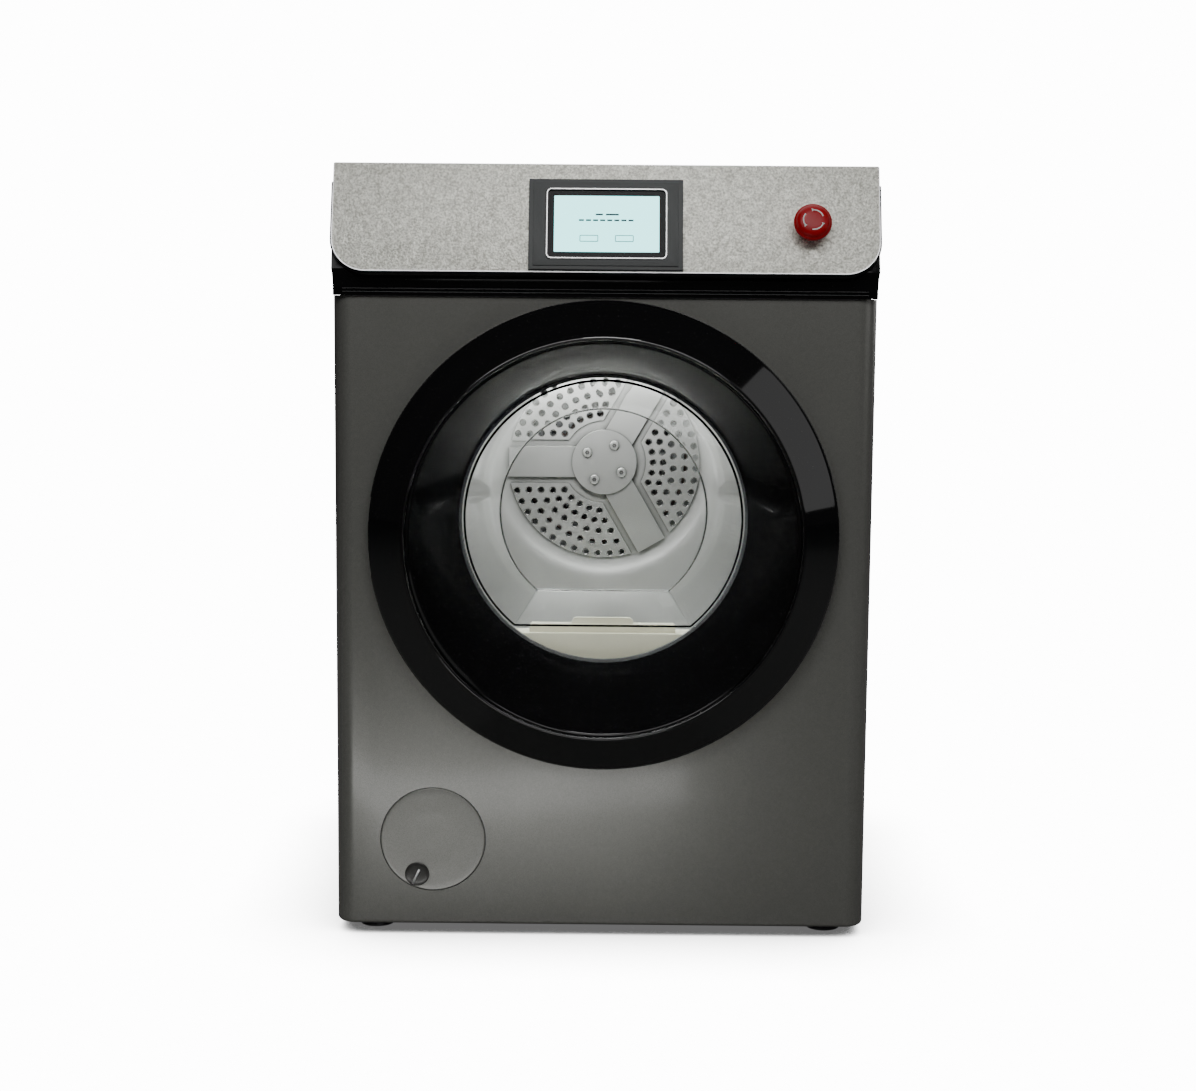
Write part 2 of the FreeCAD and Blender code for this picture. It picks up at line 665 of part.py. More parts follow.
def hinge_room():
    """Space that the ring and the frame leave for the hinge."""
    half = hinge_half_height + hinge_ear + gap + hinge_notch
    return box(-ring_radius - 5, hinge_x + 19, ring_side - 0.2, 5, door_z - half, door_z + half)


def door_seal():
    """Rubber ring on the frame's plate, a little off the front panel when the door is shut."""
    return tube_y(0, window_z, seal_radius, door_opening_radius + 3, plate_back + seat, -gap)


def hinge_leaf():
    """Plate and two ears on the front panel, and the pin between them."""
    reach = hinge_half_height + gap
    leaf = box(hinge_x + 3, hinge_x + 24, -1.6, -seat, door_z - reach - hinge_ear, door_z + reach + hinge_ear)
    for side in (-1, 1):
        z0, z1 = sorted((door_z + side * reach, door_z + side * (reach + hinge_ear)))
        ear = prism([(hinge_x + 4, -1, z0), (hinge_x + 16, -1, z0), (hinge_x + 10, hinge_y + 3, z0),
                     (hinge_x + 2, hinge_y - 3, z0),
                     (hinge_x - 0.5, hinge_y + 3.5, z0)], Vector(0, 0, z1 - z0))
        leaf = leaf.fuse([ear, rod_z(hinge_x, hinge_y, hinge_barrel_radius, z0, z1)])
        leaf = leaf.cut(rod_z(hinge_x, hinge_y, hinge_pin_radius + 0.02, z0 - 1, z1 + 1))
    pin = rod_z(hinge_x, hinge_y, hinge_pin_radius, door_z - reach - hinge_ear, door_z + reach + hinge_ear)
    return [leaf.removeSplitter(), pin]


def hinge_arm():
    """Barrel on the hinge pin with an arm that is fixed to the front of the frame's plate."""
    z0, z1 = door_z - hinge_half_height, door_z + hinge_half_height
    barrel = rod_z(hinge_x, hinge_y, hinge_barrel_radius, z0, z1)
    back = plate_front - seat
    neck = prism([(hinge_x + 1, hinge_y + 3.5, z0), (hinge_x + 1, hinge_y - 3, z0),
                  (hinge_x + 8, back - 4, z0), (hinge_x + 12, back - 3, z0),
                  (hinge_x + 12, back, z0), (hinge_x + 7, back, z0)], Vector(0, 0, z1 - z0))
    arm = fused(barrel, neck, box(hinge_x + 9, hinge_x + 44, back - 3, back, z0, z1))
    return arm.cut(rod_z(hinge_x, hinge_y, hinge_pin_radius + fit, z0 - 1, z1 + 1)).removeSplitter()


def latch_hook():
    """Hook on the door frame that enters the catch through the front panel's slot."""
    z0, z1 = door_z - 11, door_z + 11
    plate = box(latch_x - 10, latch_x + 10, plate_back + seat, plate_back + 2, z0 - 8, z1 + 8)
    tongue = box(latch_x - 3, latch_x + 3, plate_back + 1, 20, z0, z1)
    nose = prism([(latch_x - 3, 12, z0), (latch_x - 5.5, 14, z0), (latch_x - 5.5, 17, z0),
                  (latch_x - 3, 21, z0), (latch_x + 3, 21, z0),
                  (latch_x + 3, 12, z0)], Vector(0, 0, z1 - z0))
    return fused(plate, tongue, nose)


def door_catch():
    """Sprung catch behind the front panel: a bracket with two jaws beside the hook's path."""
    z0, z1 = door_z - 20, door_z + 20
    bracket = box(latch_x - 17, latch_x + 18, 1 + seat, 34, z0, z1)
    bracket = bracket.cut(box(latch_x - 7.5, latch_x + 8.5, 0, 31, z0 + 3, z1 - 3))
    return bracket.removeSplitter()


# ================================================================ tunnel, filter and bulkhead
tunnel_flat = window_z - tunnel_flat_z
filter_y0, filter_y1 = 66.0, 78.0
filter_half = 80.0


def tunnel_moulding():
    """The tunnel and the filter's housing as one moulding: flange, flared tube, step and flat-bottomed tube."""
    wide, wall, front = tunnel_front_radius, tunnel_wall, sheet + seat
    profile = [(door_opening_radius, front), (tunnel_flange_radius, front),
               (tunnel_flange_radius, front + wall),
               (door_opening_radius + wall, front + wall), (wide + wall, frame_mouth_back + 4),
               (wide + wall, tunnel_step + wall),
               (wide - 40, tunnel_step + wall), (wide - 40, tunnel_step), (wide, tunnel_step),
               (wide, frame_mouth_back + 2)]
    narrow = d_prism(tunnel_radius + wall, tunnel_flat + wall, 0, window_z, tunnel_step, bulkhead_y - seat)
    ledge = rod_y(0, window_z, wide, tunnel_step, tunnel_step + wall)
    moulding = turned(profile, 0, window_z).fuse([ledge, narrow])
    catch = box(latch_x - 19, latch_x + 20, 0, tunnel_flange_radius, door_z - 22, door_z + 22)
    catch = catch.cut(rod_y(0, window_z, door_opening_radius + wall, 0, tunnel_flange_radius))
    return moulding.cut([d_prism(tunnel_radius, tunnel_flat, 0, window_z, tunnel_step - 1, bulkhead_y + 5),
                         catch])


def filter_share(clearance):
    """Region of the moulding under the flat that belongs to the filter's housing."""
    region = rod_y(0, window_z, tunnel_front_radius - clearance, tunnel_step - 1, bulkhead_y)
    return region.common(box(-200, 200, 0, bulkhead_y, 200, tunnel_flat_z + 0.5 - clearance))


def door_tunnel():
    """Moulding from the front panel to the bulkhead, round the door's frame and the glass bowl."""
    return largest(tunnel_moulding().cut(filter_share(0.0)))


def filter_housing():
    """Ledge under the tunnel's flat, with the lint filter's slot in it."""
    slot = box(-filter_half - 1, filter_half + 1, filter_y0 - 0.5, filter_y1 + 0.5, tunnel_flat_z - 10,
               tunnel_flat_z + 1)
    return largest(tunnel_moulding().common(filter_share(seat)).cut(slot))


def lint_filter():
    """Flat filter cassette with a handle, cross ribs and a fine sheet between them."""
    z0, z1 = 150.0, tunnel_flat_z + 2
    frame = box(-filter_half, filter_half, filter_y0 + 1, filter_y1 - 1, z0, z1)
    cuts = [box(x, x + 33, filter_y0, filter_y1, z, z + 54)
            for x in (-74.0, -35.0, 4.0, 43.0) for z in (z0 + 6, z0 + 64, z0 + 122)]
    frame = frame.cut(Part.makeCompound(cuts))
    middle = (filter_y0 + filter_y1) / 2
    mesh = box(-filter_half + 2, filter_half - 2, middle - 0.4, middle + 0.4, z0 + 2, z1 - 4)
    handle = rounded_plate(2 * filter_half + 6, tunnel_flat_z + seat, tunnel_flat_z + 7, filter_y0 - 2,
                           filter_y1 + 2, top=3)
    grip = rounded_plate(70, tunnel_flat_z + 6, tunnel_flat_z + 14, filter_y0 + 3, filter_y1 - 3, top=6)
    return fused(frame, mesh, handle, grip)


duct_outline = [(-92, 332), (92, 332), (128, 190), (128, 50), (-12, 50), (-92, 150)]


def front_duct():
    """Flat duct on the bulkhead's front, from the filter slot down to the blower's inlet."""
    y0, y1 = tunnel_step + tunnel_wall + gap, bulkhead_y - seat
    top = tunnel_flat_z - tunnel_wall - seat
    outline = [(x, min(z, top)) for x, z in duct_outline]
    inner = [(x - math.copysign(2.0, x), z + (3 if z > 200 else (0 if z in (190, 150) else 2)))
             for x, z in outline]
    duct = prism_y(outline, y0, y1).cut(prism_y(inner, y0 + 2, y1 - 2))
    mouth = box(-filter_half - 1, filter_half + 1, filter_y0 - 0.5, filter_y1 + 0.5, top - 8, top + 5)
    return duct.cut([mouth, rod_y(motor_x, motor_z, inlet_radius, y1 - 3, y1 + 1)]).removeSplitter()


def roller_place(side):
    reach = drum_radius + gap + roller_radius
    return side * reach * math.sin(math.radians(roller_angle)), drum_z - reach * math.cos(math.radians(roller_angle))


def front_bulkhead():
    """Sheet across the cabinet that carries the drum's front: tunnel hole, blower inlet and felt rim."""
    y0, y1 = bulkhead_y, bulkhead_y + bulkhead_sheet
    half = inner_half - 2 * seat - tray_wall
    plate = box(-half, half, y0, y1, tray_floor + seat, side_top - 3)
    rim = tube_y(0, drum_z, felt_radius, felt_radius - 1.5, y1 - 0.5, y1 + 20)
    plate = plate.fuse(rim).cut(d_prism(tunnel_radius, tunnel_flat, 0, window_z, y0 - 1, y1 + 1))
    cuts = [rod_y(motor_x, motor_z, inlet_radius, y0 - 1, y1 + 1),
            rod_y(duct_x, duct_z, duct_radius + 1.5, y0 - 1, y1 + 1)]
    cuts += [rod_y(*roller_place(side), roller_axle_radius + 0.02, y0 - 1, y1 + 1) for side in (-1, 1)]
    return plate.cut(cuts).removeSplitter()


def drum_felt_seal():
    """Felt ring on the bulkhead's rim, inside the drum's front lip."""
    y0 = bulkhead_y + bulkhead_sheet + 2
    return tube_y(0, drum_z, felt_radius + felt_thickness, felt_radius + seat, y0, y0 + 16)


def roller_axles():
    """Axle of each front roller, riveted in the bulkhead."""
    axles = []
    for side in (-1, 1):
        x, z = roller_place(side)
        y1 = bulkhead_y + bulkhead_sheet
        axles.append(fused(rod_y(x, z, roller_axle_radius, bulkhead_y - 2, y1 + 30),
                           rod_y(x, z, 9, y1 + seat, y1 + 7),
                           rod_y(x, z, 8, bulkhead_y - 3, bulkhead_y - seat),
                           rod_y(x, z, 8, y1 + 27, y1 + 30)))
    return axles


def front_roller(side):
    """Grooveless roller under the drum's front edge."""
    x, z = roller_place(side)
    y0 = bulkhead_y + bulkhead_sheet + 7 + gap
    roller = rod_y(x, z, roller_radius, y0, y0 + 19)
    return roller.cut(rod_y(x, z, roller_axle_radius + fit, y0 - 1, y0 + 20))


# ================================================================ drum
def drum_shell():
    """Sheet cylinder with two pressed beads and a hemmed front lip."""
    outer, inner = drum_radius, drum_radius - drum_sheet
    lip_back = drum_front + lip_depth
    bead = 3.0
    line = []
    for y in (drum_front + 93, drum_back - 40):
        line += [(0, y - 8), (-bead, y - 4), (-bead, y + 4), (0, y + 8)]
    outside = [(outer + dr, y) for dr, y in line]
    inside = [(inner + dr, y) for dr, y in line]
    profile = [(drum_mouth_radius, drum_front), (outer, drum_front)] + outside + [(outer, drum_back),
                                                                                  (inner, drum_back)]
    profile += inside[::-1] + [(inner, drum_front + drum_sheet),
                               (drum_mouth_radius + drum_sheet, drum_front + drum_sheet),
                               (drum_mouth_radius + drum_sheet, lip_back), (drum_mouth_radius, lip_back)]
    return turned(profile, 0, drum_z)


def spoke_bars(half_width_now, radius, y0, y1):
    """Three bars from the hub, at 60, 180 and 300 degrees."""
    bar = box(0, radius, y0, y1, drum_z - half_width_now, drum_z + half_width_now)
    return spread(bar, spoke_count, 0, drum_z, 60.0)


def sector_solid(inset, y0, y1):
    """The three perforated sectors: a ring less the spokes."""
    ring = tube_y(0, drum_z, perforated_radius - inset, sector_inner + inset, y0, y1)
    return ring.cut(spoke_bars(spoke_half_width + 9 + inset, perforated_radius + 5, y0 - 1, y1 + 1))


def drum_rear_wall():
    """Pressed sheet: raised hub, spokes and perforated sectors inside a shallow cone, with a rim in the shell."""
    back, wall = drum_back - seat, rear_sheet
    base = back - wall
    rim_radius = drum_radius - drum_sheet - seat
    profile = [(0, base), (perforated_radius + 4, base), (step_radius, base - step_rise),
               (rim_radius - wall - 4, base - step_rise),
               (rim_radius - wall, base - step_rise - 4), (rim_radius - wall, back - 28),
               (rim_radius, back - 28), (rim_radius, base - step_rise),
               (rim_radius - 4, back - step_rise), (step_radius + 1, back - step_rise),
               (perforated_radius + 5, back), (0, back)]
    plate = turned(profile, 0, drum_z)
    raised = [rod_y(0, drum_z, hub_radius, base - hub_rise,
                    back)] + spoke_bars(spoke_half_width, perforated_radius, base - spoke_rise, back)
    raised.append(sector_solid(0, base - sector_rise, back))
    hollow = [rod_y(0, drum_z, hub_radius - wall, base - hub_rise + wall, back + 1)]
    hollow += spoke_bars(spoke_half_width - wall, perforated_radius - wall, base - spoke_rise + wall,
                         back + 1)
    hollow.append(sector_solid(wall, base - sector_rise + wall, back + 1))
    wall_solid = plate.fuse(raised).cut(hollow)
    return wall_solid.cut(Part.makeCompound(perforations(base - 12, back + 5)
                                            + hub_holes(base - 15, back + 5,
                                                        hub_screw_radius + seat))).removeSplitter()


def perforations(y0, y1):
    """Holes of the three sectors, in rows on arcs about the drum's axis."""
    holes = []
    for sector in (0.0, 120.0, 240.0):
        for radius, count, span in hole_rows:
            for i in range(count):
                x, z = polar(radius, sector - span / 2 + i * span / (count - 1), 0, drum_z)
                holes.append(rod_y(x, z, hole_radius, y0, y1))
    return holes


def hub_holes(y0, y1, radius):
    return [rod_y(*polar(hub_screw_circle, a, 0, drum_z), radius, y0, y1) for a in hub_screw_angles]


def drum_lifters():
    """Three hollow baffles on the shell's inside that lift the load."""
    wall = drum_radius - drum_sheet - 3.2
    y0, y1 = drum_front + 16, drum_back - 34
    lifters = []
    outline = [(-lifter_half_width, 0), (-12, lifter_height - 10), (-7, lifter_height - 3),
               (0, lifter_height), (7, lifter_height - 3),
               (12, lifter_height - 10), (lifter_half_width, 0)]
    inner = [(x * 0.84, h * 0.93 if h else -1) for x, h in outline]

    def lofted(points, y_low, y_high, shrink):
        wires = []
        for y, scale in ((y_low, 1.0 - shrink), (y_low + 30, 1.0), (y_high - 30, 1.0),
                         (y_high, 1.0 - shrink)):
            base = math.sqrt(wall**2 - lifter_half_width**2)
            places = [Vector(x, y, drum_z - base + (h if h <= 0 else h * scale)) for x, h in points]
            wires.append(Part.makePolygon(places + places[:1]))
        return Part.makeLoft(wires, True, True)

    body = lofted(outline, y0, y1, 0.45).cut(lofted(inner, y0 + 4, y1 - 4, 0.45))
    for copy in spread(body, lifter_count, 0, drum_z, 60.0):
        lifters.append(copy)
    return lifters


def drum_shaft():
    """Rear shaft with the flange that is screwed to the drum's hub, and a circlip behind the bush."""
    base = drum_back - seat - hub_rise
    flange_plate = rod_y(0, drum_z, hub_radius - rear_sheet - seat, base + seat, base + 5)
    end = bracket_y + 14
    shaft = rod_y(0, drum_z, shaft_radius, base + 4, end)
    circlip = rod_y(0, drum_z, shaft_radius + 4, end - 1.6, end - 0.4)
    return fused(flange_plate, shaft, circlip).cut(hub_holes(base - 1, base + 6, hub_screw_radius + seat))


def hub_screws():
    """Four screws that hold the drum's hub to the shaft's flange."""
    face = drum_back - seat - rear_sheet - hub_rise
    screws = []
    for angle in hub_screw_angles:
        x, z = polar(hub_screw_circle, angle, 0, drum_z)
        head = rod_y(x, z, 6.0, face - 4.0 - seat, face - seat)
        head = head.makeFillet(1.2, [e for e in head.Edges if e.CenterOfMass.y < face - 3])
        socket = prism_y([polar(3.0, 60 * i, x, z) for i in range(6)], face - 6, face - 1.8)
        screws.append(fused(head.cut(socket), rod_y(x, z, hub_screw_radius, face - 1, face + 12)))
    return screws


def shaft_bush():
    """Flanged bush of the drum's shaft in the rear crossbar."""
    bush = fused(rod_y(0, drum_z, bush_radius, bracket_y - 4, bracket_y + 12),
                 rod_y(0, drum_z, bush_radius + 5, bracket_y - 7, bracket_y - 3 - seat))
    bush = bush.cut(rod_y(0, drum_z, shaft_radius + fit, bracket_y - 10, bracket_y + 15))
    return bush


def bearing_bracket():
    """Rear crossbar, a channel between the side panels, with the bush's seat."""
    y0, y1 = bracket_y - 3, bracket_y + 12
    half = inner_half - seat
    bar = box(-half, half, y0, y1, drum_z - 30, drum_z + 30)
    bar = bar.cut(box(-half - 1, half + 1, y0 + 3, y1 + 1, drum_z - 27, drum_z + 27))
    bar = bar.fuse(rod_y(0, drum_z, bush_radius + 6, y0, y1)).cut(rod_y(0, drum_z, bush_radius + 0.03, y0 - 1,
                                                                        y1 + 1))
    return bar.removeSplitter()


# ================================================================ heater
def heater_housing():
    """Round air box behind the drum's perforations."""
    y1 = bracket_y - 3 - seat
    shell = tube_y(0, drum_z, heater_radius, heater_radius - 1.5, heater_front, y1)
    plate = rod_y(0, drum_z, heater_radius, y1 - 1.5, y1)
    housing = shell.fuse(plate)
    inlet = box(-60, 60, heater_front + 18, y1 - 8, drum_z - heater_radius - 5, drum_z - heater_radius + 20)
    return housing.cut([rod_y(0, drum_z, bush_radius + 7, y1 - 5, y1 + 1), inlet]).removeSplitter()


def heater_element():
    """Three heating rings, one behind another in size, on three insulating plates, and two thermal switches."""
    y1 = bracket_y - 3 - 1.5 - 2 * seat
    ring_y = heater_front + 40
    pieces = [Part.makeTorus(radius, 2.5, Vector(0, ring_y, drum_z), Y_AXIS)
              for radius in (60.0, 85.0, 110.0)]
    plate = box(40, heater_radius - 1.5 - seat, ring_y + 2.5 + seat, y1, drum_z - 1.5, drum_z + 1.5)
    pieces += spread(plate, 3, 0, drum_z, 90.0)
    top = drum_z + heater_radius + seat
    pieces += [rod_z(x, heater_front + 40, 9, math.sqrt(heater_radius**2 - x**2) + drum_z + 1.5, top + 9)
               for x in (-16.0, 16.0)]
    return pieces


# ================================================================ drive
def belt_outline(extra):
    """Closed wire round the drum, the motor's pulley and the idler, which lie inside the belt."""
    circles = [(0.0, drum_z, drum_radius + extra), (idler_x, idler_z, idler_radius + extra),
               (motor_x, motor_z, pulley_radius + extra)]
    count = len(circles)
    leaves, arrives = [None] * count, [None] * count
    for i, (x0, z0, r0) in enumerate(circles):
        x1, z1, r1 = circles[(i + 1) % count]
        run = math.hypot(x1 - x0, z1 - z0)
        heading = math.atan2(z1 - z0, x1 - x0)
        normal = heading - math.pi / 2 + math.asin((r0 - r1) / run)
        leaves[i] = (normal, x0 + r0 * math.cos(normal), z0 + r0 * math.sin(normal))
        arrives[(i + 1) % count] = (normal, x1 + r1 * math.cos(normal), z1 + r1 * math.sin(normal))
    edges = []
    for i, (x, z, r) in enumerate(circles):
        start, end = arrives[i], leaves[i]
        sweep = (end[0] - start[0]) % (2 * math.pi)
        middle = start[0] + sweep / 2
        edges.append(Part.Arc(Vector(start[1], 0, start[2]),
                              Vector(x + r * math.cos(middle), 0, z + r * math.sin(middle)),
                              Vector(end[1], 0, end[2])).toShape())
        nxt = arrives[(i + 1) % count]
        edges.append(Part.LineSegment(Vector(end[1], 0, end[2]), Vector(nxt[1], 0, nxt[2])).toShape())
    return Part.Wire(edges)


def drive_belt():
    """Flat belt in one upright plane."""
    solids = []
    for extra in (belt_gap + belt_thickness, belt_gap):
        face = Part.Face(belt_outline(extra))
        face.translate(Vector(0, belt_y - belt_width / 2, 0))
        solids.append(face.extrude(Vector(0, belt_width, 0)))
    return solids[0].cut(solids[1])


def flanged_pulley(x, z, radius, rim, bore):
    half = belt_width / 2 + 1
    profile = [(bore, belt_y - half - 2), (radius + rim, belt_y - half - 2),
               (radius + rim, belt_y - half - 0.5), (radius, belt_y - half),
               (radius, belt_y + half), (radius + rim, belt_y + half + 0.5),
               (radius + rim, belt_y + half + 2), (bore, belt_y + half + 2)]
    return turned(profile, x, z)


def motor_pulley():
    return flanged_pulley(motor_x, motor_z, pulley_radius, 4.0, motor_shaft_radius + 0.02)


def idler_pulley():
    return flanged_pulley(idler_x, idler_z, idler_radius, 3.5, arm_pin_radius + fit)


def motor_housing():
    """Motor case with end bells, and the wound stator inside it."""
    case = rod_y(motor_x, motor_z, motor_radius, motor_front, motor_back)
    case = case.makeFillet(6.0, [e for e in case.Edges if len(e.Vertexes) == 1])
    case = case.cut(rod_y(motor_x, motor_z, motor_radius - 2.5, motor_front + 4, motor_back - 4))
    case = case.cut(rod_y(motor_x, motor_z, motor_shaft_radius + fit, motor_front - 1, motor_back + 1))
    stator = tube_y(motor_x, motor_z, motor_radius - 2.5 - seat, 32, motor_front + 25, motor_back - 25)
    return [case, stator]


def motor_rotor():
    """Rotor core on a shaft that carries the blower wheel in front and the pulley behind."""
    return fused(rod_y(motor_x, motor_z, motor_shaft_radius, blower_front + 8, belt_y + 12),
                 rod_y(motor_x, motor_z, 31, motor_front + 25, motor_back - 25))


def motor_cradle():
    """Sheet cradle under the motor, and the tensioner's post beside it."""
    cradle = box(motor_x - 45, motor_x + 45, motor_front + 5, motor_back - 5, tray_floor + seat,
                 tray_floor + 3)
    for y in (motor_front + 10, motor_back - 20):
        cradle = cradle.fuse(box(motor_x - 45, motor_x + 45, y, y + 8, tray_floor + 1, motor_z - 15))
    cradle = cradle.cut(rod_y(motor_x, motor_z, motor_radius + seat, motor_front, motor_back))
    post = box(arm_x - 14, arm_x + 9, belt_y - 24, belt_y - 20, tray_floor + seat, arm_z + 10)
    foot = box(arm_x - 14, arm_x + 9, belt_y - 40, belt_y - 20, tray_floor + seat, tray_floor + 3)
    pin = rod_y(arm_x, arm_z, arm_pin_radius, belt_y - 21, belt_y - 8)
    head = rod_y(arm_x, arm_z, arm_pin_radius + 2.5, belt_y - 10.5, belt_y - 8)
    return [cradle.removeSplitter(), fused(post, foot, pin, head)]


def tension_arm():
    """Arm between its pivot on the post and the idler's pin, with an eye for the spring."""
    y0, y1 = belt_y - 20 + gap, belt_y - 12
    dx, dz = idler_x - arm_x, idler_z - arm_z
    run = math.hypot(dx, dz)
    bar = box(0, run, y0, y1, -9, 9)
    bar.rotate(Vector(0, 0, 0), Y_AXIS, -math.degrees(math.atan2(dz, dx)))
    bar.translate(Vector(arm_x, 0, arm_z))
    pin = rod_y(idler_x, idler_z, arm_pin_radius, y1 - 1, belt_y + 10)
    cap = rod_y(idler_x, idler_z, arm_pin_radius + 2.5, belt_y + 7 + gap, belt_y + 10)
    arm = fused(bar, rod_y(arm_x, arm_z, 11, y0, y1), rod_y(idler_x, idler_z, 11, y0, y1), pin, cap)
    lever = box(spring_x - 6, arm_x, y0, y1, arm_z - 6, arm_z + 6)
    return arm.fuse(lever).cut(rod_y(arm_x, arm_z, arm_pin_radius + fit, y0 - 1, y1 + 1)).removeSplitter()


spring_x = arm_x - 28
spring_coil_radius, spring_wire_radius, spring_turns = 4.5, 0.8, 10


def tension_spring():
    """Helical spring between the arm's lever and the tray."""
    z0, z1 = tray_floor + 1.2, arm_z - 6 - 1.2
    helix = Part.makeHelix((z1 - z0) / spring_turns, z1 - z0, spring_coil_radius)
    helix.translate(Vector(spring_x, belt_y - 16, z0))
    start = Vector(spring_x + spring_coil_radius, belt_y - 16, z0)
    section = Part.Wire([Part.Circle(start, Vector(0, 1, 0.1), spring_wire_radius).toShape()])
    return Part.Wire(helix.Edges).makePipeShell([section], True, True)


def blower_wheel():
    """Squirrel cage wheel on the motor's front shaft end."""
    y0, y1 = blower_front + 8, blower_back - 8
    back = rod_y(motor_x, motor_z, wheel_radius, y1 - 2, y1)
    ring = tube_y(motor_x, motor_z, wheel_radius, wheel_radius - 12, y0, y0 + 2)
    hub = rod_y(motor_x, motor_z, 14, y1 - 22, y1)
    blade = box(wheel_radius - 12, wheel_radius - 0.5, y0, y1, -0.7, 0.7)
    blade.rotate(Vector(wheel_radius - 6, 0, 0), Y_AXIS, 35)
    blade.translate(Vector(motor_x, 0, motor_z))
    wheel = back.fuse([ring, hub] + spread(blade, blade_count, motor_x, motor_z))
    return wheel.cut(rod_y(motor_x, motor_z, motor_shaft_radius + 0.02, y0 - 5, y1 + 5)).removeSplitter()


def blower_housing():
    """Round blower case with its outlet to the exhaust duct."""
    bottom = tray_floor + 8
    case = rod_y(motor_x, motor_z, blower_radius, blower_front, blower_back)
    outlet = box(duct_x, motor_x, blower_front, blower_back, bottom + 4, bottom + 54)
    case = case.fuse(outlet)
    hollow = rod_y(motor_x, motor_z, blower_radius - 2, blower_front + 2, blower_back - 2)
    hollow = hollow.fuse(box(duct_x - 1, motor_x, blower_front + 2, blower_back - 2, bottom + 6, bottom + 52))
    case = case.cut([hollow, rod_y(motor_x, motor_z, inlet_radius, blower_front - 1, blower_front + 3),
                     rod_y(motor_x, motor_z, motor_shaft_radius + 4, blower_back - 3, blower_back + 1),
                     rod_y(duct_x, duct_z, duct_radius + seat, blower_front - 1, blower_back + 1)])
    case = largest(case)
    neck = tube_y(motor_x, motor_z, inlet_radius + 6, inlet_radius, bulkhead_y + bulkhead_sheet + seat,
                  blower_front + 1)
    feet = box(motor_x - 30, motor_x + 30, blower_front + 20, blower_front + 40, tray_floor + seat,
               motor_z - blower_radius + 3)
    return case.fuse([neck, feet]).removeSplitter()


def largest(shape):
    return sorted(shape.Solids, key=lambda s: s.Volume)[-1]


def exhaust_duct():
    """Straight duct from the front vent collar through the rear panel to the spigot, open to the blower's outlet."""
    bottom = tray_floor + 8
    duct = tube_y(duct_x, duct_z, duct_radius, duct_radius - duct_wall, duct_front, cabinet_depth + sheet)
    inlet = box(duct_x, duct_x + duct_radius + 5, blower_front + 2, blower_back - 2, bottom + 6, bottom + 52)
    saddles = [box(duct_x - 12, duct_x + 12, y, y + 6, tray_floor + seat, duct_z - duct_radius + 1.5)
               for y in (60.0, cabinet_depth - 70)]
    return duct.cut(inlet).fuse(saddles).removeSplitter()


def vent_collar():
    """Ring behind the front panel that the vent cap plugs into and the duct's front end slides on."""
    inner, bore = duct_radius - duct_wall, duct_radius + seat
    rim, edge, sleeve = vent_cap_radius + collar_rim, vent_cap_radius + collar_rim - duct_wall, duct_radius + 3
    stop, end = duct_front - seat, duct_front + collar_overlap
    profile = [(inner, 3.2), (edge, 3.2), (edge, sheet + seat), (rim, sheet + seat), (rim, 5.2),
               (sleeve, 5.2),
               (sleeve, end), (bore, end), (bore, stop), (inner, stop)]
    return turned(profile, duct_x, duct_z)


def vent_cap():
    """Round cap: a shallow dished face with a finger scoop, and a plug behind it."""
    plug = duct_radius - duct_wall - gap
    radius = vent_cap_radius
    profile = [(0, 1.2), (radius * 0.55, 0.7), (radius - 4, -0.6), (radius - 1, -1.0), (radius, -0.6),
               (radius, 2.8),
               (plug, 2.8), (plug - 0.8, 17), (plug - 2.8, 17), (plug - 2.8, 4.0), (0, 4.0)]
    cap = turned(profile, duct_x, duct_z)
    scoop_x, scoop_z = polar(vent_cap_radius - 13.5, 246.0, duct_x, duct_z)
    ball = Part.makeSphere(15.0, Vector(scoop_x, -13.2, scoop_z))
    return cap.cut(ball.common(box(scoop_x - 20, scoop_x + 20, -20, 2.0, scoop_z - 20,
                                   scoop_z + 20))).removeSplitter()


def exhaust_spigot():
    """Collar at the back for a flexible hose."""
    y0 = cabinet_depth + sheet
    inner = duct_radius - duct_wall
    rim, back = duct_radius + spigot_flange, y0 + duct_wall
    profile = [(inner, y0 + seat), (rim, y0 + seat), (rim, back), (duct_radius, back),
               (duct_radius, y0 + spigot_length), (inner, y0 + spigot_length)]
    return turned(profile, duct_x, duct_z)


# ================================================================ electrics
gland_x, gland_z, gland_radius, gland_bore = 232.0, 700.0, 8.0, 5.0


def cable_gland():
    """Gland for the mains lead, clamped in the rear panel."""
    y0 = cabinet_depth + sheet + seat
    outer = prism_y([polar(13, 60 * i, gland_x, gland_z) for i in range(6)], y0, y0 + 7)
    dome = Part.makeCone(11, 8, 9, Vector(gland_x, y0 + 6, gland_z), Y_AXIS)
    inner_nut = prism_y([polar(12.5, 60 * i, gland_x, gland_z) for i in range(6)], cabinet_depth - 5,
                        cabinet_depth - seat)
    barrel = rod_y(gland_x, gland_z, gland_radius - 0.05, cabinet_depth - 8, y0 + 7)
    return fused(outer, dome, inner_nut,
                 barrel).cut(rod_y(gland_x, gland_z, gland_bore, cabinet_depth - 10, y0 + 20))


def control_box():
    """Controller case on the right side panel, above the drum's shoulder, with its lid and terminal block."""
    case = box(200, inner_half - seat, 150, 330, side_top - 95, side_top - 15)
    case = case.makeFillet(3.0, [e for e in case.Edges if along(e, X_AXIS)])
    terminals = box(215, 280, 329, 342, side_top - 85, side_top - 65)
    return fused(case, terminals)


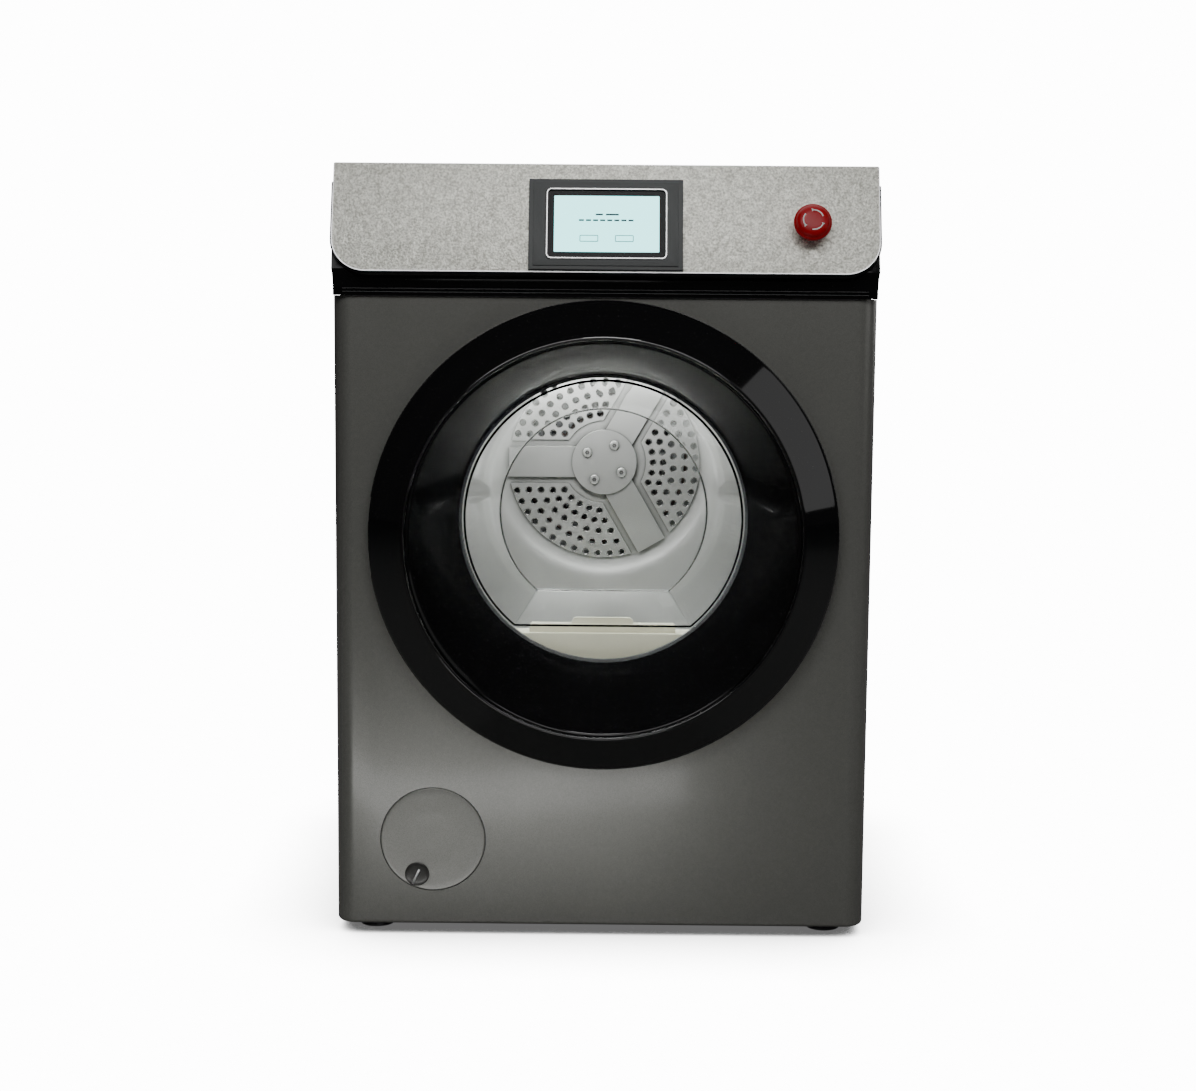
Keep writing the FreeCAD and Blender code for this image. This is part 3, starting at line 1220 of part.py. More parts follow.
# ================================================================ assembly
NODES = {
    "base_tray": base_tray, "left_side_panel": lambda: side_panel(-1),
         "right_side_panel": lambda: side_panel(1),
    "rear_panel": rear_panel, "worktop": worktop, "front_panel": front_panel,
         "levelling_feet": levelling_feet,
    "panel_screws": panel_screws, "console_housing": console_housing, "fascia_plate": fascia_plate,
    "display_bezel": display_bezel, "display_glass": display_glass, "display_module": display_module,
    "estop_collar": estop_collar, "estop_contact_block": estop_contact_block, "estop_stem": estop_stem,
    "estop_head": estop_head, "door_ring": door_ring, "door_dish": door_dish, "door_glass": door_glass,
    "door_frame": door_frame, "door_seal": door_seal, "hinge_leaf": hinge_leaf, "hinge_arm": hinge_arm,
    "latch_hook": latch_hook, "door_catch": door_catch, "door_tunnel": door_tunnel,
         "filter_housing": filter_housing, "lint_filter": lint_filter,
    "front_duct": front_duct, "front_bulkhead": front_bulkhead, "drum_felt_seal": drum_felt_seal,
    "roller_axles": roller_axles, "front_roller_left": lambda: front_roller(-1),
         "front_roller_right": lambda: front_roller(1),
    "drum_shell": drum_shell, "drum_rear_wall": drum_rear_wall, "drum_lifters": drum_lifters,
         "drum_shaft": drum_shaft,
    "hub_screws": hub_screws, "shaft_bush": shaft_bush, "bearing_bracket": bearing_bracket,
    "heater_housing": heater_housing, "heater_element": heater_element, "drive_belt": drive_belt,
    "motor_pulley": motor_pulley, "idler_pulley": idler_pulley, "motor_housing": motor_housing,
         "motor_rotor": motor_rotor,
    "motor_cradle": motor_cradle, "tension_arm": tension_arm, "tension_spring": tension_spring,
         "blower_wheel": blower_wheel,
    "blower_housing": blower_housing, "exhaust_duct": exhaust_duct, "vent_collar": vent_collar,
         "vent_cap": vent_cap,
    "exhaust_spigot": exhaust_spigot, "cable_gland": cable_gland, "control_box": control_box,
}


def write_parts(folder):
    """Builds every node, moves it into the part's frame and writes one STEP file each."""
    os.makedirs(folder, exist_ok=True)
    for name, make in NODES.items():
        made = make()
        solids = [s for piece in (made if isinstance(made, list) else [made]) for s in piece.Solids]
        for solid in solids:
            if not solid.isValid() or solid.Volume <= 0:
                raise ValueError(f"{name} holds a solid that isn't sound")
            solid.translate(Vector(0, front_y, 0))
        shape = solids[0] if len(solids) == 1 else Part.makeCompound(solids)
        shape.exportStep(os.path.join(folder, name + ".step"))
        print(f"{name}: {len(solids)} solid(s), {sum(s.Volume for s in solids) / 1000:.1f} cm3")


if __name__ == "__main__":
    write_parts("parts")
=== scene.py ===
"""Front-loading tumble dryer: its finishes and its hand-modelled pieces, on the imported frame.

Lengths are in metres. X runs to the right as one faces the door, Y from the door to the back and Z upwards.
"""

from __future__ import annotations

import json
import logging
import math
from dataclasses import dataclass, field
from enum import Enum
from typing import Any, Callable, Sequence

import bmesh
import bpy
from mathutils import Matrix, Vector

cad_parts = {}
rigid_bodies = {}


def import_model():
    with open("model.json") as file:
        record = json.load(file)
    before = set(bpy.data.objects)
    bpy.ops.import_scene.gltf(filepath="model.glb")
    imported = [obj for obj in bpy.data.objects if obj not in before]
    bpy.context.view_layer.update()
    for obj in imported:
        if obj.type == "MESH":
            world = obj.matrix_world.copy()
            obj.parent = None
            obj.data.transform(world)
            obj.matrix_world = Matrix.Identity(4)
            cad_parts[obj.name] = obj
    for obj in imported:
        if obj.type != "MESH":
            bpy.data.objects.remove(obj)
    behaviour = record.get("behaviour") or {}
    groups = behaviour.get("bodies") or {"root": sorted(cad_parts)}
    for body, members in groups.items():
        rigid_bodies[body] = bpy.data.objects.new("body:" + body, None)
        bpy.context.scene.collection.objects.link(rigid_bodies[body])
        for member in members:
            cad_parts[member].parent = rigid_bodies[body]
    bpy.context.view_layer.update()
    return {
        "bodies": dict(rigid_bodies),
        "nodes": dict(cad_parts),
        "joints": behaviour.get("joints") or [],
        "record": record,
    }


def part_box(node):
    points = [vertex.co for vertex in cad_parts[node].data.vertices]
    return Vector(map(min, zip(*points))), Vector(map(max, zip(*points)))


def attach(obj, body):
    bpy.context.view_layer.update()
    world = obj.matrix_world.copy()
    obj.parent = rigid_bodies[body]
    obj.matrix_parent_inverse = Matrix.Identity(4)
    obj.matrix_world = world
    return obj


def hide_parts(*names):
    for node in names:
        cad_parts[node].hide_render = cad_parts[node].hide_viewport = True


LOG = logging.getLogger("dryer")
MM = 0.001
TOUCH = 1e-6
Colour = tuple[float, float, float]


# ------------------------------------------------------------------ shader maths
class Flow:
    """A node's output that takes part in sums and products, with numbers on either side."""

    def __init__(self, graph: "Graph", socket: bpy.types.NodeSocket) -> None:
        """Wraps a socket of a graph."""
        self.graph, self.socket = graph, socket

    def _math(self, operation: str, a: Any, b: Any) -> "Flow":
        """A Math node on two values or flows."""
        return self.graph.node("ShaderNodeMath", {"operation": operation}, {0: a, 1: b})

    def __add__(self, other: Any) -> "Flow":
        """Sum."""
        return self._math("ADD", self, other)

    __radd__ = __add__

    def __rsub__(self, other: Any) -> "Flow":
        """Difference from a number."""
        return self._math("SUBTRACT", other, self)

    def __mul__(self, other: Any) -> "Flow":
        """Product."""
        return self._math("MULTIPLY", self, other)

    __rmul__ = __mul__

    def __pow__(self, other: Any) -> "Flow":
        """Power."""
        return self._math("POWER", self, other)

    def ramp(self, low: float, high: float, start: float = 0.0, end: float = 1.0) -> "Flow":
        """Clamped linear ramp.

        Args:
            low: Input that gives start.
            high: Input that gives end.
            start: Output at low.
            end: Output at high.

        Returns:
            The ramped flow.
        """
        inputs = {0: self, 1: low, 2: high, 3: start, 4: end}
        return self.graph.node("ShaderNodeMapRange", {"clamp": True}, inputs)


class Graph:
    """The node tree of one material or of the world."""

    def __init__(self, tree: bpy.types.NodeTree) -> None:
        """Starts from an empty tree."""
        self.tree = tree
        tree.nodes.clear()

    def node(self, kind: str, settings: dict[str, Any] | None = None, inputs: dict[Any, Any] | None = None,
             out: int | str = 0) -> Flow:
        """Adds any node.

        Args:
            kind: The node's type.
            settings: Its own settings, such as a Math node's operation.
            inputs: Values or flows of its sockets, by name or number.
            out: The output to return.

        Returns:
            The chosen output.
        """
        made = self.tree.nodes.new(kind)
        for key, value in (settings or {}).items():
            setattr(made, key, value)
        for key, value in (inputs or {}).items():
            socket = made.inputs[key]
            if isinstance(value, Flow):
                self.tree.links.new(value.socket, socket)
            elif isinstance(value, tuple) and len(value) == 3 and socket.type == "RGBA":
                socket.default_value = (*value, 1.0)
            else:
                socket.default_value = value
        return Flow(self, made.outputs[out]) if made.outputs else Flow(self, None)

    def coords(self, stretch: tuple[float, float, float] = (1.0, 1.0, 1.0)) -> Flow:
        """Object coordinates, stretched along the axes."""
        place = self.node("ShaderNodeTexCoord", out="Object")
        return self.node("ShaderNodeMapping", {}, {"Vector": place, "Scale": stretch})

    def noise(self, scale: float, detail: float = 2.0, rough: float = 0.5,
              stretch: tuple[float, float, float] = (1.0, 1.0, 1.0)) -> Flow:
        """Noise from 0 to 1, with scale in cycles a metre."""
        inputs = {"Vector": self.coords(stretch), "Scale": scale, "Detail": detail, "Roughness": rough}
        return self.node("ShaderNodeTexNoise", {}, inputs)

    def cells(self, scale: float) -> Flow:
        """A random brightness in each Voronoi cell, with scale in cells a metre."""
        inputs = {"Vector": self.coords(), "Scale": scale}
        colour = self.node("ShaderNodeTexVoronoi", {"feature": "F1"}, inputs, "Color")
        return self.node("ShaderNodeSeparateColor", {}, {0: colour})

    def blend(self, share: Any, a: Any, b: Any) -> Flow:
        """Colour a where share is 0, and b where it is 1."""
        return self.node("ShaderNodeMix", {"data_type": "RGBA"}, {0: share, 6: a, 7: b}, out=2)

    def bump(self, height: Flow, strength: float, depth: float) -> Flow:
        """Normal from a height, whose full range is depth metres."""
        return self.node("ShaderNodeBump", {}, {"Height": height, "Strength": strength, "Distance": depth})


# ------------------------------------------------------------------ finishes
@dataclass(frozen=True)
class Finish:
    """A finish that can dress pieces. Subclasses say how it looks."""

    name: str
    colour: Colour = (0.5, 0.5, 0.5)
    roughness: float = 0.4

    def wire(self, g: Graph) -> Flow:
        """Builds the surface and returns its shader."""
        raise NotImplementedError

    def material(self) -> bpy.types.Material:
        """The Blender material, made on first use under a name that no imported material has."""
        title = f"{self.name}_finish"
        known = bpy.data.materials.get(title)
        if known is None:
            known = bpy.data.materials.new(title)
            known.use_nodes = True
            g = Graph(known.node_tree)
            g.node("ShaderNodeOutputMaterial", {}, {"Surface": self.wire(g)})
        return known

    def shader(self, g: Graph, **inputs: Any) -> Flow:
        """A Principled shader; underscores in the names stand for spaces."""
        return g.node("ShaderNodeBsdfPrincipled", {}, {k.replace("_", " "): v for k, v in inputs.items()})


@dataclass(frozen=True)
class Enamel(Finish):
    """Sprayed satin metallic paint: fine flakes, a slight orange peel and faint wipe marks."""

    flake: float = 0.35
    lustre: float = 0.55

    def wire(self, g: Graph) -> Flow:
        """Paint with flakes under a clear coat."""
        sparkle = g.cells(2600.0).ramp(0.2, 0.9)
        cloud = g.noise(3.1, 3.0, 0.55, (1.0, 1.0, 0.45))
        dark = tuple(c * (1 - self.flake * 0.5) for c in self.colour)
        light = tuple(min(1.0, c * (1 + self.flake)) for c in self.colour)
        paint = g.blend(sparkle * 0.55 + cloud * 0.45, dark, light)
        wipes = g.noise(9.0, 4.0, 0.6, (1.0, 1.0, 0.25))
        rough = self.roughness - 0.05 + wipes * 0.10
        peel = g.bump(g.noise(420.0, 2.0) + sparkle * 0.15, 0.12, 0.15 * MM)
        return self.shader(g, Base_Color=paint, Metallic=self.lustre, Roughness=rough, Normal=peel,
                           Coat_Weight=0.35,
                           Coat_Roughness=0.12)


@dataclass(frozen=True)
class GrainedPlate(Finish):
    """Pebble-grained metallic plate, with painted shade in the grain's hollows and painted highlight on its
    crests, over random soft clouds.
    """

    grain: float = 900.0

    def wire(self, g: Graph) -> Flow:
        """Rounded grains of uneven size over soft clouds, their tone following their height as painted light.
        """
        pebbles = g.noise(self.grain, 2.0, 0.6).ramp(0.36, 0.64)
        coarse = g.noise(self.grain * 0.35, 2.0, 0.5).ramp(0.3, 0.7)
        cloud = g.noise(6.0, 2.0)
        height = pebbles * 0.65 + coarse * 0.35
        # Painted light: the tone follows the grain's height, darker in the hollows as painted shade and
        # lighter on the crests as painted highlight; the clouds are random tone.
        dark = tuple(c * 0.52 for c in self.colour)
        tint = g.blend(height * 0.8 + cloud * 0.2, dark, tuple(min(1.0, c * 1.36) for c in self.colour))
        rough = self.roughness + (1 - height) * 0.18
        return self.shader(g, Base_Color=tint, Metallic=0.62, Roughness=rough,
                           Normal=g.bump(height, 0.6, 0.45 * MM))


@dataclass(frozen=True)
class GlossMoulding(Finish):
    """High-gloss moulded plastic with faint polishing haze and a little dust."""

    haze: float = 0.05
    coat: float = 0.6
    shine: float = 0.5

    def wire(self, g: Graph) -> Flow:
        """Deep colour under a glossy coat."""
        swirl = g.noise(14.0, 5.0, 0.6)
        dust = g.noise(950.0, 1.0).ramp(0.72, 0.80)
        tint = g.blend(dust * 0.35, self.colour, (0.16, 0.155, 0.15))
        rough = self.roughness + swirl.ramp(0.4, 0.75) * self.haze + dust * 0.12
        ripple = g.bump(g.noise(26.0, 1.0), 0.10, 0.25 * MM)
        return self.shader(g, Base_Color=tint, Roughness=rough, Normal=ripple, Coat_Weight=self.coat,
                           Coat_Roughness=0.03,
                           Specular_IOR_Level=self.shine)


@dataclass(frozen=True)
class Moulding(Finish):
    """Satin moulded plastic with a spark-eroded grain."""

    grain: float = 700.0
    shine: float = 0.5

    def wire(self, g: Graph) -> Flow:
        """Fine grain with a slightly uneven tone."""
        fine = g.noise(self.grain, 2.0, 0.6)
        tone = g.noise(11.0, 3.0)
        tint = g.blend(fine * 0.4 + tone * 0.6, tuple(c * 0.88 for c in self.colour),
                       tuple(min(1.0, c * 1.1) for c in self.colour))
        return self.shader(g, Base_Color=tint, Roughness=self.roughness + fine * 0.12,
                           Specular_IOR_Level=self.shine,
                           Normal=g.bump(fine, 0.25, 0.12 * MM))


@dataclass(frozen=True)
class Rubber(Finish):
    """Soft moulded rubber with a bloom of fine dust."""

    def wire(self, g: Graph) -> Flow:
        """Matte, with lighter dust in patches."""
        bloom = g.noise(60.0, 4.0, 0.7).ramp(0.45, 0.8)
        pores = g.noise(1400.0, 2.0)
        tint = g.blend(bloom * 0.5, self.colour, tuple(c * 2.2 + 0.01 for c in self.colour))
        return self.shader(g, Base_Color=tint, Roughness=self.roughness + pores * 0.15,
                           Normal=g.bump(pores, 0.3, 0.08 * MM))


@dataclass(frozen=True)
class SheetSteel(Finish):
    """Bare or zinc-coated sheet: rolled lines and, if coated, crystals of uneven brightness; if asked,
    painted shade darkens it near its creases.
    """

    spangle: float = 0.0
    grain: tuple[float, float, float] = (1.0, 1.0, 0.06)
    painted_crease_shade: float = 0.0

    def wire(self, g: Graph) -> Flow:
        """Metal with fine rolling lines and spangles, and painted shade in its creases if asked."""
        lines = g.noise(620.0, 2.0, 0.6, self.grain)
        smear = g.noise(7.0, 4.0, 0.6)
        light = tuple(min(1.0, c * 1.12) for c in self.colour)
        tone = lines * 0.4 + smear * 0.6
        rough = self.roughness + lines * 0.10 + smear * 0.06
        if self.spangle:
            crystal = g.cells(75.0)
            tone = tone * (1 - self.spangle) + crystal * self.spangle
            rough = rough + crystal * 0.12
        tint = g.blend(tone, tuple(c * 0.78 for c in self.colour), light)
        # Painted shade: ambient occlusion darkens the colour in creases and hollows, where shade would fall.
        if self.painted_crease_shade:
            near = g.node("ShaderNodeAmbientOcclusion", {"samples": 8}, {"Distance": self.painted_crease_shade}, out="AO")
            tint = g.blend(near.ramp(0.35, 0.92), tuple(c * 0.10 for c in self.colour), tint)
        return self.shader(g, Base_Color=tint, Metallic=1.0, Roughness=rough,
                           Normal=g.bump(lines, 0.15, 0.05 * MM))


@dataclass(frozen=True)
class TurnedMetal(Finish):
    """Machined metal with tool marks."""

    def wire(self, g: Graph) -> Flow:
        """Close tool marks and a little oil."""
        marks = g.noise(900.0, 2.0)
        oil = g.noise(45.0, 3.0).ramp(0.5, 0.75)
        tint = g.blend(oil * 0.5, self.colour, tuple(c * 0.6 for c in self.colour))
        return self.shader(g, Base_Color=tint, Metallic=1.0, Roughness=self.roughness + marks * 0.12,
                           Normal=g.bump(marks, 0.2, 0.04 * MM))


@dataclass(frozen=True)
class Felt(Finish):
    """Pressed wool felt."""

    def wire(self, g: Graph) -> Flow:
        """Tangled fibres."""
        fibres = g.noise(1100.0, 5.0, 0.75)
        tint = g.blend(fibres, tuple(c * 0.6 for c in self.colour), tuple(c * 1.3 for c in self.colour))
        return self.shader(g, Base_Color=tint, Roughness=0.95, Normal=g.bump(fibres, 0.8, 0.6 * MM),
                           Sheen_Weight=0.3)


@dataclass(frozen=True)
class ClearGlass(Finish):
    """Thick pressed glass that lets lamps through."""

    ior: float = 1.46

    def wire(self, g: Graph) -> Flow:
        """Clear body with faint flow ripples."""
        ripple = g.bump(g.noise(16.0, 1.0), 0.16, 0.35 * MM)
        smudge = g.noise(22.0, 4.0, 0.65).ramp(0.62, 0.85)
        body = self.shader(g, Base_Color=self.colour, Roughness=smudge * 0.03, Normal=ripple,
                           Transmission_Weight=1.0, IOR=self.ior)
        through = g.node("ShaderNodeBsdfTransparent", {}, {"Color": (0.96, 0.98, 0.97)})
        shadow = g.node("ShaderNodeLightPath", out="Is Shadow Ray")
        return g.node("ShaderNodeMixShader", {}, {0: shadow, 1: body, 2: through})


@dataclass(frozen=True)
class LitScreen(Finish):
    """Back-lit panel with a fine grain and an uneven glow."""

    power: float = 1.0

    def wire(self, g: Graph) -> Flow:
        """Soft clouds of light over the grain."""
        grain = g.noise(2400.0, 0.0)
        glow = g.noise(12.0, 1.0)
        tint = g.blend(glow * 0.5 + grain * 0.2, self.colour, tuple(min(1.0, c * 1.1) for c in self.colour))
        return self.shader(g, Base_Color=(0.2, 0.25, 0.25), Roughness=self.roughness, Emission_Color=tint,
                           Emission_Strength=self.power,
                           Coat_Weight=0.4)


@dataclass(frozen=True)
class WhiteSweep(Finish):
    """Lit studio floor: white to the camera, darker only where the machine stands close over it."""

    glow: float = 14.0
    reach: float = 0.16

    def wire(self, g: Graph) -> Flow:
        """Glow with contact shade for the camera, pale paper for everything else."""
        near = g.node("ShaderNodeAmbientOcclusion", {"samples": 12}, {"Distance": self.reach}, out="AO")
        shade = near.ramp(0.25, 1.0)
        fine = g.noise(40.0, 3.0).ramp(0.2, 0.8, 0.97, 1.0)
        lit = g.node("ShaderNodeEmission", {},
                     {"Color": (1.0, 1.0, 1.0), "Strength": (shade ** 1.3) * fine * self.glow + 0.15})
        paper = self.shader(g, Base_Color=(0.16, 0.16, 0.155), Roughness=0.8)
        seen = g.node("ShaderNodeLightPath", out="Is Camera Ray")
        return g.node("ShaderNodeMixShader", {}, {0: seen, 1: paper, 2: lit})


class Look(Enum):
    """The finishes of this machine."""

    ENAMEL = Enamel("dark_grey_enamel", (0.215, 0.215, 0.20), 0.36)
    PLATE = GrainedPlate("champagne_texture", (0.78, 0.76, 0.67), 0.44, grain=420.0)
    GLOSS = GlossMoulding("gloss_black", (0.0045, 0.0045, 0.005), 0.05)
    DISH = GlossMoulding("dish_black", (0.0045, 0.0045, 0.005), 0.05, coat=0.0, shine=0.20)
    HOUSING = GlossMoulding("housing_black", (0.004, 0.004, 0.0045), 0.14, coat=0.0, shine=0.14)
    # Darker copy of the enamel, as painted shade in the finger scoop's hollow.
    RECESS = Enamel("painted_shade_enamel", (0.060, 0.060, 0.056), 0.30)
    BEZEL = Moulding("bezel_grey", (0.085, 0.090, 0.090), 0.45, shine=0.35)
    # Bright silver sheet for real trim lines, and for strips that stand as painted highlights on the panel's
    # top edge and the vent cap's rib.
    SILVER_LINE = SheetSteel("silver_trim_and_highlight", (0.62, 0.62, 0.62), 0.22)
    PANEL_BLACK = Moulding("panel_black", (0.004, 0.004, 0.005), 0.30, grain=900.0, shine=0.15)
    SCREEN = LitScreen("screen", (0.26, 0.80, 0.80), 0.3, power=3.6)
    INK = Moulding("screen_ink", (0.02, 0.04, 0.05), 0.5)
    RED = Moulding("stop_red", (0.36, 0.0015, 0.006), 0.30, grain=500.0, shine=0.30)
    WHITE = Moulding("arrow_white", (0.80, 0.80, 0.78), 0.4)
    GLASS = ClearGlass("clear_glass", (0.97, 0.99, 0.98), 0.0)
    RUBBER = Rubber("black_rubber", (0.014, 0.014, 0.014), 0.62)
    GREY = Moulding("grey_moulding", (0.055, 0.056, 0.058), 0.42)
    CREAM = Moulding("cream_moulding", (0.70, 0.66, 0.52), 0.40)
    ZINC = SheetSteel("galvanised", (0.50, 0.51, 0.52), 0.34, spangle=0.5)
    STAINLESS = SheetSteel("stainless", (0.40, 0.40, 0.39), 0.20, grain=(1.0, 0.06, 1.0))
    # Pressed steel with painted shade in its creases, hollows and screw sockets.
    PRESSED = SheetSteel("pressed_steel", (0.90, 0.91, 0.875), 0.29, grain=(1.0, 1.0, 1.0), painted_crease_shade=10.0 * MM)
    MACHINED = TurnedMetal("machined_steel", (0.50, 0.50, 0.51), 0.26)
    FELT = Felt("felt", (0.22, 0.20, 0.17))
    BLACK = Moulding("black_plastic", (0.022, 0.022, 0.024), 0.42)
    MOTOR = Enamel("motor_paint", (0.12, 0.13, 0.14), 0.40)
    BRONZE = TurnedMetal("bronze", (0.52, 0.33, 0.14), 0.38)
    HEATING = TurnedMetal("heating_alloy", (0.24, 0.20, 0.18), 0.55)


# ------------------------------------------------------------------ the modelling bench
def clear_selection() -> None:
    """Leaves edit mode and deselects every object."""
    if bpy.context.object and bpy.context.object.mode != "OBJECT":
        bpy.ops.object.mode_set(mode="OBJECT")
    bpy.ops.object.select_all(action="DESELECT")


def take_up(thing: bpy.types.Object, *others: bpy.types.Object) -> None:
    """Selects only these objects and makes the first one active."""
    clear_selection()
    for each in (thing, *others):
        each.select_set(True)
    bpy.context.view_layer.objects.active = thing


def turn_about(x: float, z: float, degrees: float) -> Matrix:
    """A turn about the line along Y through a point."""
    turn = Matrix.Rotation(math.radians(degrees), 4, "Y")
    return Matrix.Translation((x, 0, z)) @ turn @ Matrix.Translation((-x, 0, -z))


class Bench:
    """One piece on the bench, with the edit-mode steps that shape it. Its object stays at the origin."""

    def __init__(self, name: str, thing: bpy.types.Object) -> None:
        """Takes an object onto the bench, selected and active, with its place in its mesh."""
        self.thing = thing
        thing.name = thing.data.name = name
        take_up(thing)
        bpy.ops.object.transform_apply(location=True, rotation=True, scale=True)

    @classmethod
    def circle(cls, name: str, radius: float, centre: Vector, sides: int, filled: bool = False) -> "Bench":
        """A circle that faces along Y."""
        clear_selection()
        fill = "NGON" if filled else "NOTHING"
        bpy.ops.mesh.primitive_circle_add(vertices=sides, radius=radius, fill_type=fill, location=centre,
                                          rotation=(math.pi / 2, 0, 0))
        return cls(name, bpy.context.object)

    @classmethod
    def block(cls, name: str, low: Sequence[float], high: Sequence[float]) -> "Bench":
        """A block between two corners."""
        clear_selection()
        middle = [(a + b) / 2 for a, b in zip(low, high)]
        bpy.ops.mesh.primitive_cube_add(size=1.0, location=middle)
        bpy.context.object.scale = [b - a for a, b in zip(low, high)]
        return cls(name, bpy.context.object)

    @classmethod
    def from_node(cls, name: str, node: bpy.types.Object) -> "Bench":
        """A merged copy of a CAD node, to finish by hand."""
        copy = bpy.data.objects.new(name, node.data.copy())
        bpy.context.scene.collection.objects.link(copy)
        bench = cls(name, copy)
        if copy.data.has_custom_normals:
            bpy.ops.mesh.customdata_custom_splitnormals_clear()
        with bench.editing():
            bpy.ops.mesh.select_all(action="SELECT")
            bpy.ops.mesh.remove_doubles(threshold=0.004 * MM)
        return bench

    def editing(self) -> "Editing":
        """A context in which the piece is in edit mode."""
        return Editing(self.thing)

    def pick(self, wanted: Callable[[Any], bool], kind: str = "faces") -> int:
        """Selects the faces, edges or verts that satisfy a test, and nothing else.

        Args:
            wanted: The test, given a bmesh element.
            kind: faces, edges or verts.

        Returns:
            How many were selected.
        """
        mesh = bmesh.from_edit_mesh(self.thing.data)
        mesh.select_mode = {{"faces": "FACE", "edges": "EDGE", "verts": "VERT"}[kind]}
        for group in (mesh.verts, mesh.edges, mesh.faces):
            for item in group:
                item.select = False
        found = [item for item in getattr(mesh, kind) if wanted(item)]
        for item in found:
            item.select_set(True)
        mesh.select_flush_mode()
        bmesh.update_edit_mesh(self.thing.data)
        return len(found)

    def pull(self, move: Vector | tuple[float, float, float] = (0, 0, 0), grow: float = 1.0,
             about: Vector | None = None) -> None:
        """Extrudes what is selected, then scales it about a point across Y, then moves it."""
        bpy.ops.mesh.extrude_region_move(TRANSFORM_OT_translate={"value": (0, 0, 0)})
        if grow != 1.0:
            bpy.ops.transform.resize(value=(grow, 1.0, grow), center_override=about)
        bpy.ops.transform.translate(value=move)

    def tidy(self) -> None:
        """Merges doubles and turns all faces outwards."""
        with self.editing():
            bpy.ops.mesh.select_all(action="SELECT")
            bpy.ops.mesh.remove_doubles(threshold=0.003 * MM)
            bpy.ops.mesh.normals_make_consistent(inside=False)

    def modify(self, kind: str, **settings: Any) -> None:
        """Adds a modifier and applies it."""
        take_up(self.thing)
        modifier = self.thing.modifiers.new(kind.title(), kind)
        for key, value in settings.items():
            setattr(modifier, key, value)
        bpy.ops.object.modifier_apply(modifier=modifier.name)

    def soften(self, width: float, segments: int = 2, angle: float = 40.0) -> None:
        """Rounds the sharp edges."""
        self.modify("BEVEL", width=width, segments=segments, limit_method="ANGLE",
                    angle_limit=math.radians(angle),
                    use_clamp_overlap=True)

    def lean(self, matrix: Matrix) -> None:
        """Moves the mesh by a matrix, leaving the object at the origin."""
        self.thing.matrix_world = matrix
        take_up(self.thing)
        bpy.ops.object.transform_apply(location=True, rotation=True, scale=True)

    def join(self, other: "Bench") -> None:
        """Makes another piece part of this one."""
        take_up(self.thing, other.thing)
        bpy.ops.object.join()

    def open_frame(self, width: float) -> None:
        """Leaves only a frame of a width from a plate's front and back."""
        with self.editing():
            self.pick(lambda f: abs(f.normal.y) > 0.9)
            bpy.ops.mesh.inset(thickness=width, depth=0)
            bpy.ops.mesh.delete(type="FACE")

    def finish(self, look: Look, body: str, stands_for: Sequence[str] = (),
               angle: float = 32.0) -> bpy.types.Object:
        """Shades, dresses and hangs the piece on its body.

        Args:
            look: Its finish.
            body: The CAD body that it moves with.
            stands_for: CAD nodes that it replaces.
            angle: Edges sharper than this stay sharp, in degrees.

        Returns:
            The finished object.
        """
        take_up(self.thing)
        bpy.ops.object.shade_smooth_by_angle(angle=math.radians(angle))
        self.thing.data.materials.clear()
        self.thing.data.materials.append(look.value.material())
        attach(self.thing, body)
        if stands_for:
            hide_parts(*stands_for)
        LOG.info("%s: %d faces on %s", self.thing.name, len(self.thing.data.polygons), body)
        return self.thing


class Editing:
    """Edit mode for one object, left again at the end."""

    def __init__(self, thing: bpy.types.Object) -> None:
        """Keeps the object."""
        self.thing = thing

    def __enter__(self) -> None:
        """Goes into edit mode."""
        take_up(self.thing)
        bpy.ops.object.mode_set(mode="EDIT")

    def __exit__(self, *_: Any) -> None:
        """Leaves edit mode."""
        bpy.ops.object.mode_set(mode="OBJECT")


Step = tuple[float, float, float]


def turned(name: str, steps: Sequence[Step], sides: int = 160, closed: bool = True, x: float = 0.0) -> Bench:
    """A ring or a disc pulled out of a circle, step by step.

    Args:
        name: The piece's name.
        steps: (radius, y, height of the centre) of each circle; a radius of 0 closes the surface to a point.
        sides: Sides of the circle.
        closed: True to join the last circle to the first.
        x: The axis's place across.

    Returns:
        The bench with the piece on it.
    """
    radius, y, z = steps[0]
    bench = Bench.circle(name, radius, Vector((x, y, z)), sides)
    rest = list(steps[1:]) + ([steps[0]] if closed else [])
    with bench.editing():
        bpy.ops.mesh.select_all(action="SELECT")
        for new_radius, new_y, new_z in rest:
            if new_radius == 0.0:
                bench.pull((0, new_y - y, new_z - z))
                bpy.ops.mesh.merge(type="CENTER")
                break
            bench.pull((0, new_y - y, new_z - z), new_radius / radius, Vector((x, y, z)))
            radius, y, z = new_radius, new_y, new_z
    bench.tidy()
    return bench


def centre_of(node: str) -> Vector:
    """Middle of a CAD node's box."""
    low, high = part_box(node)
    return (Vector(low) + Vector(high)) / 2


def half_width(node: str) -> float:
    """Half of a CAD node's width."""
    low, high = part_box(node)
    return (high[0] - low[0]) / 2


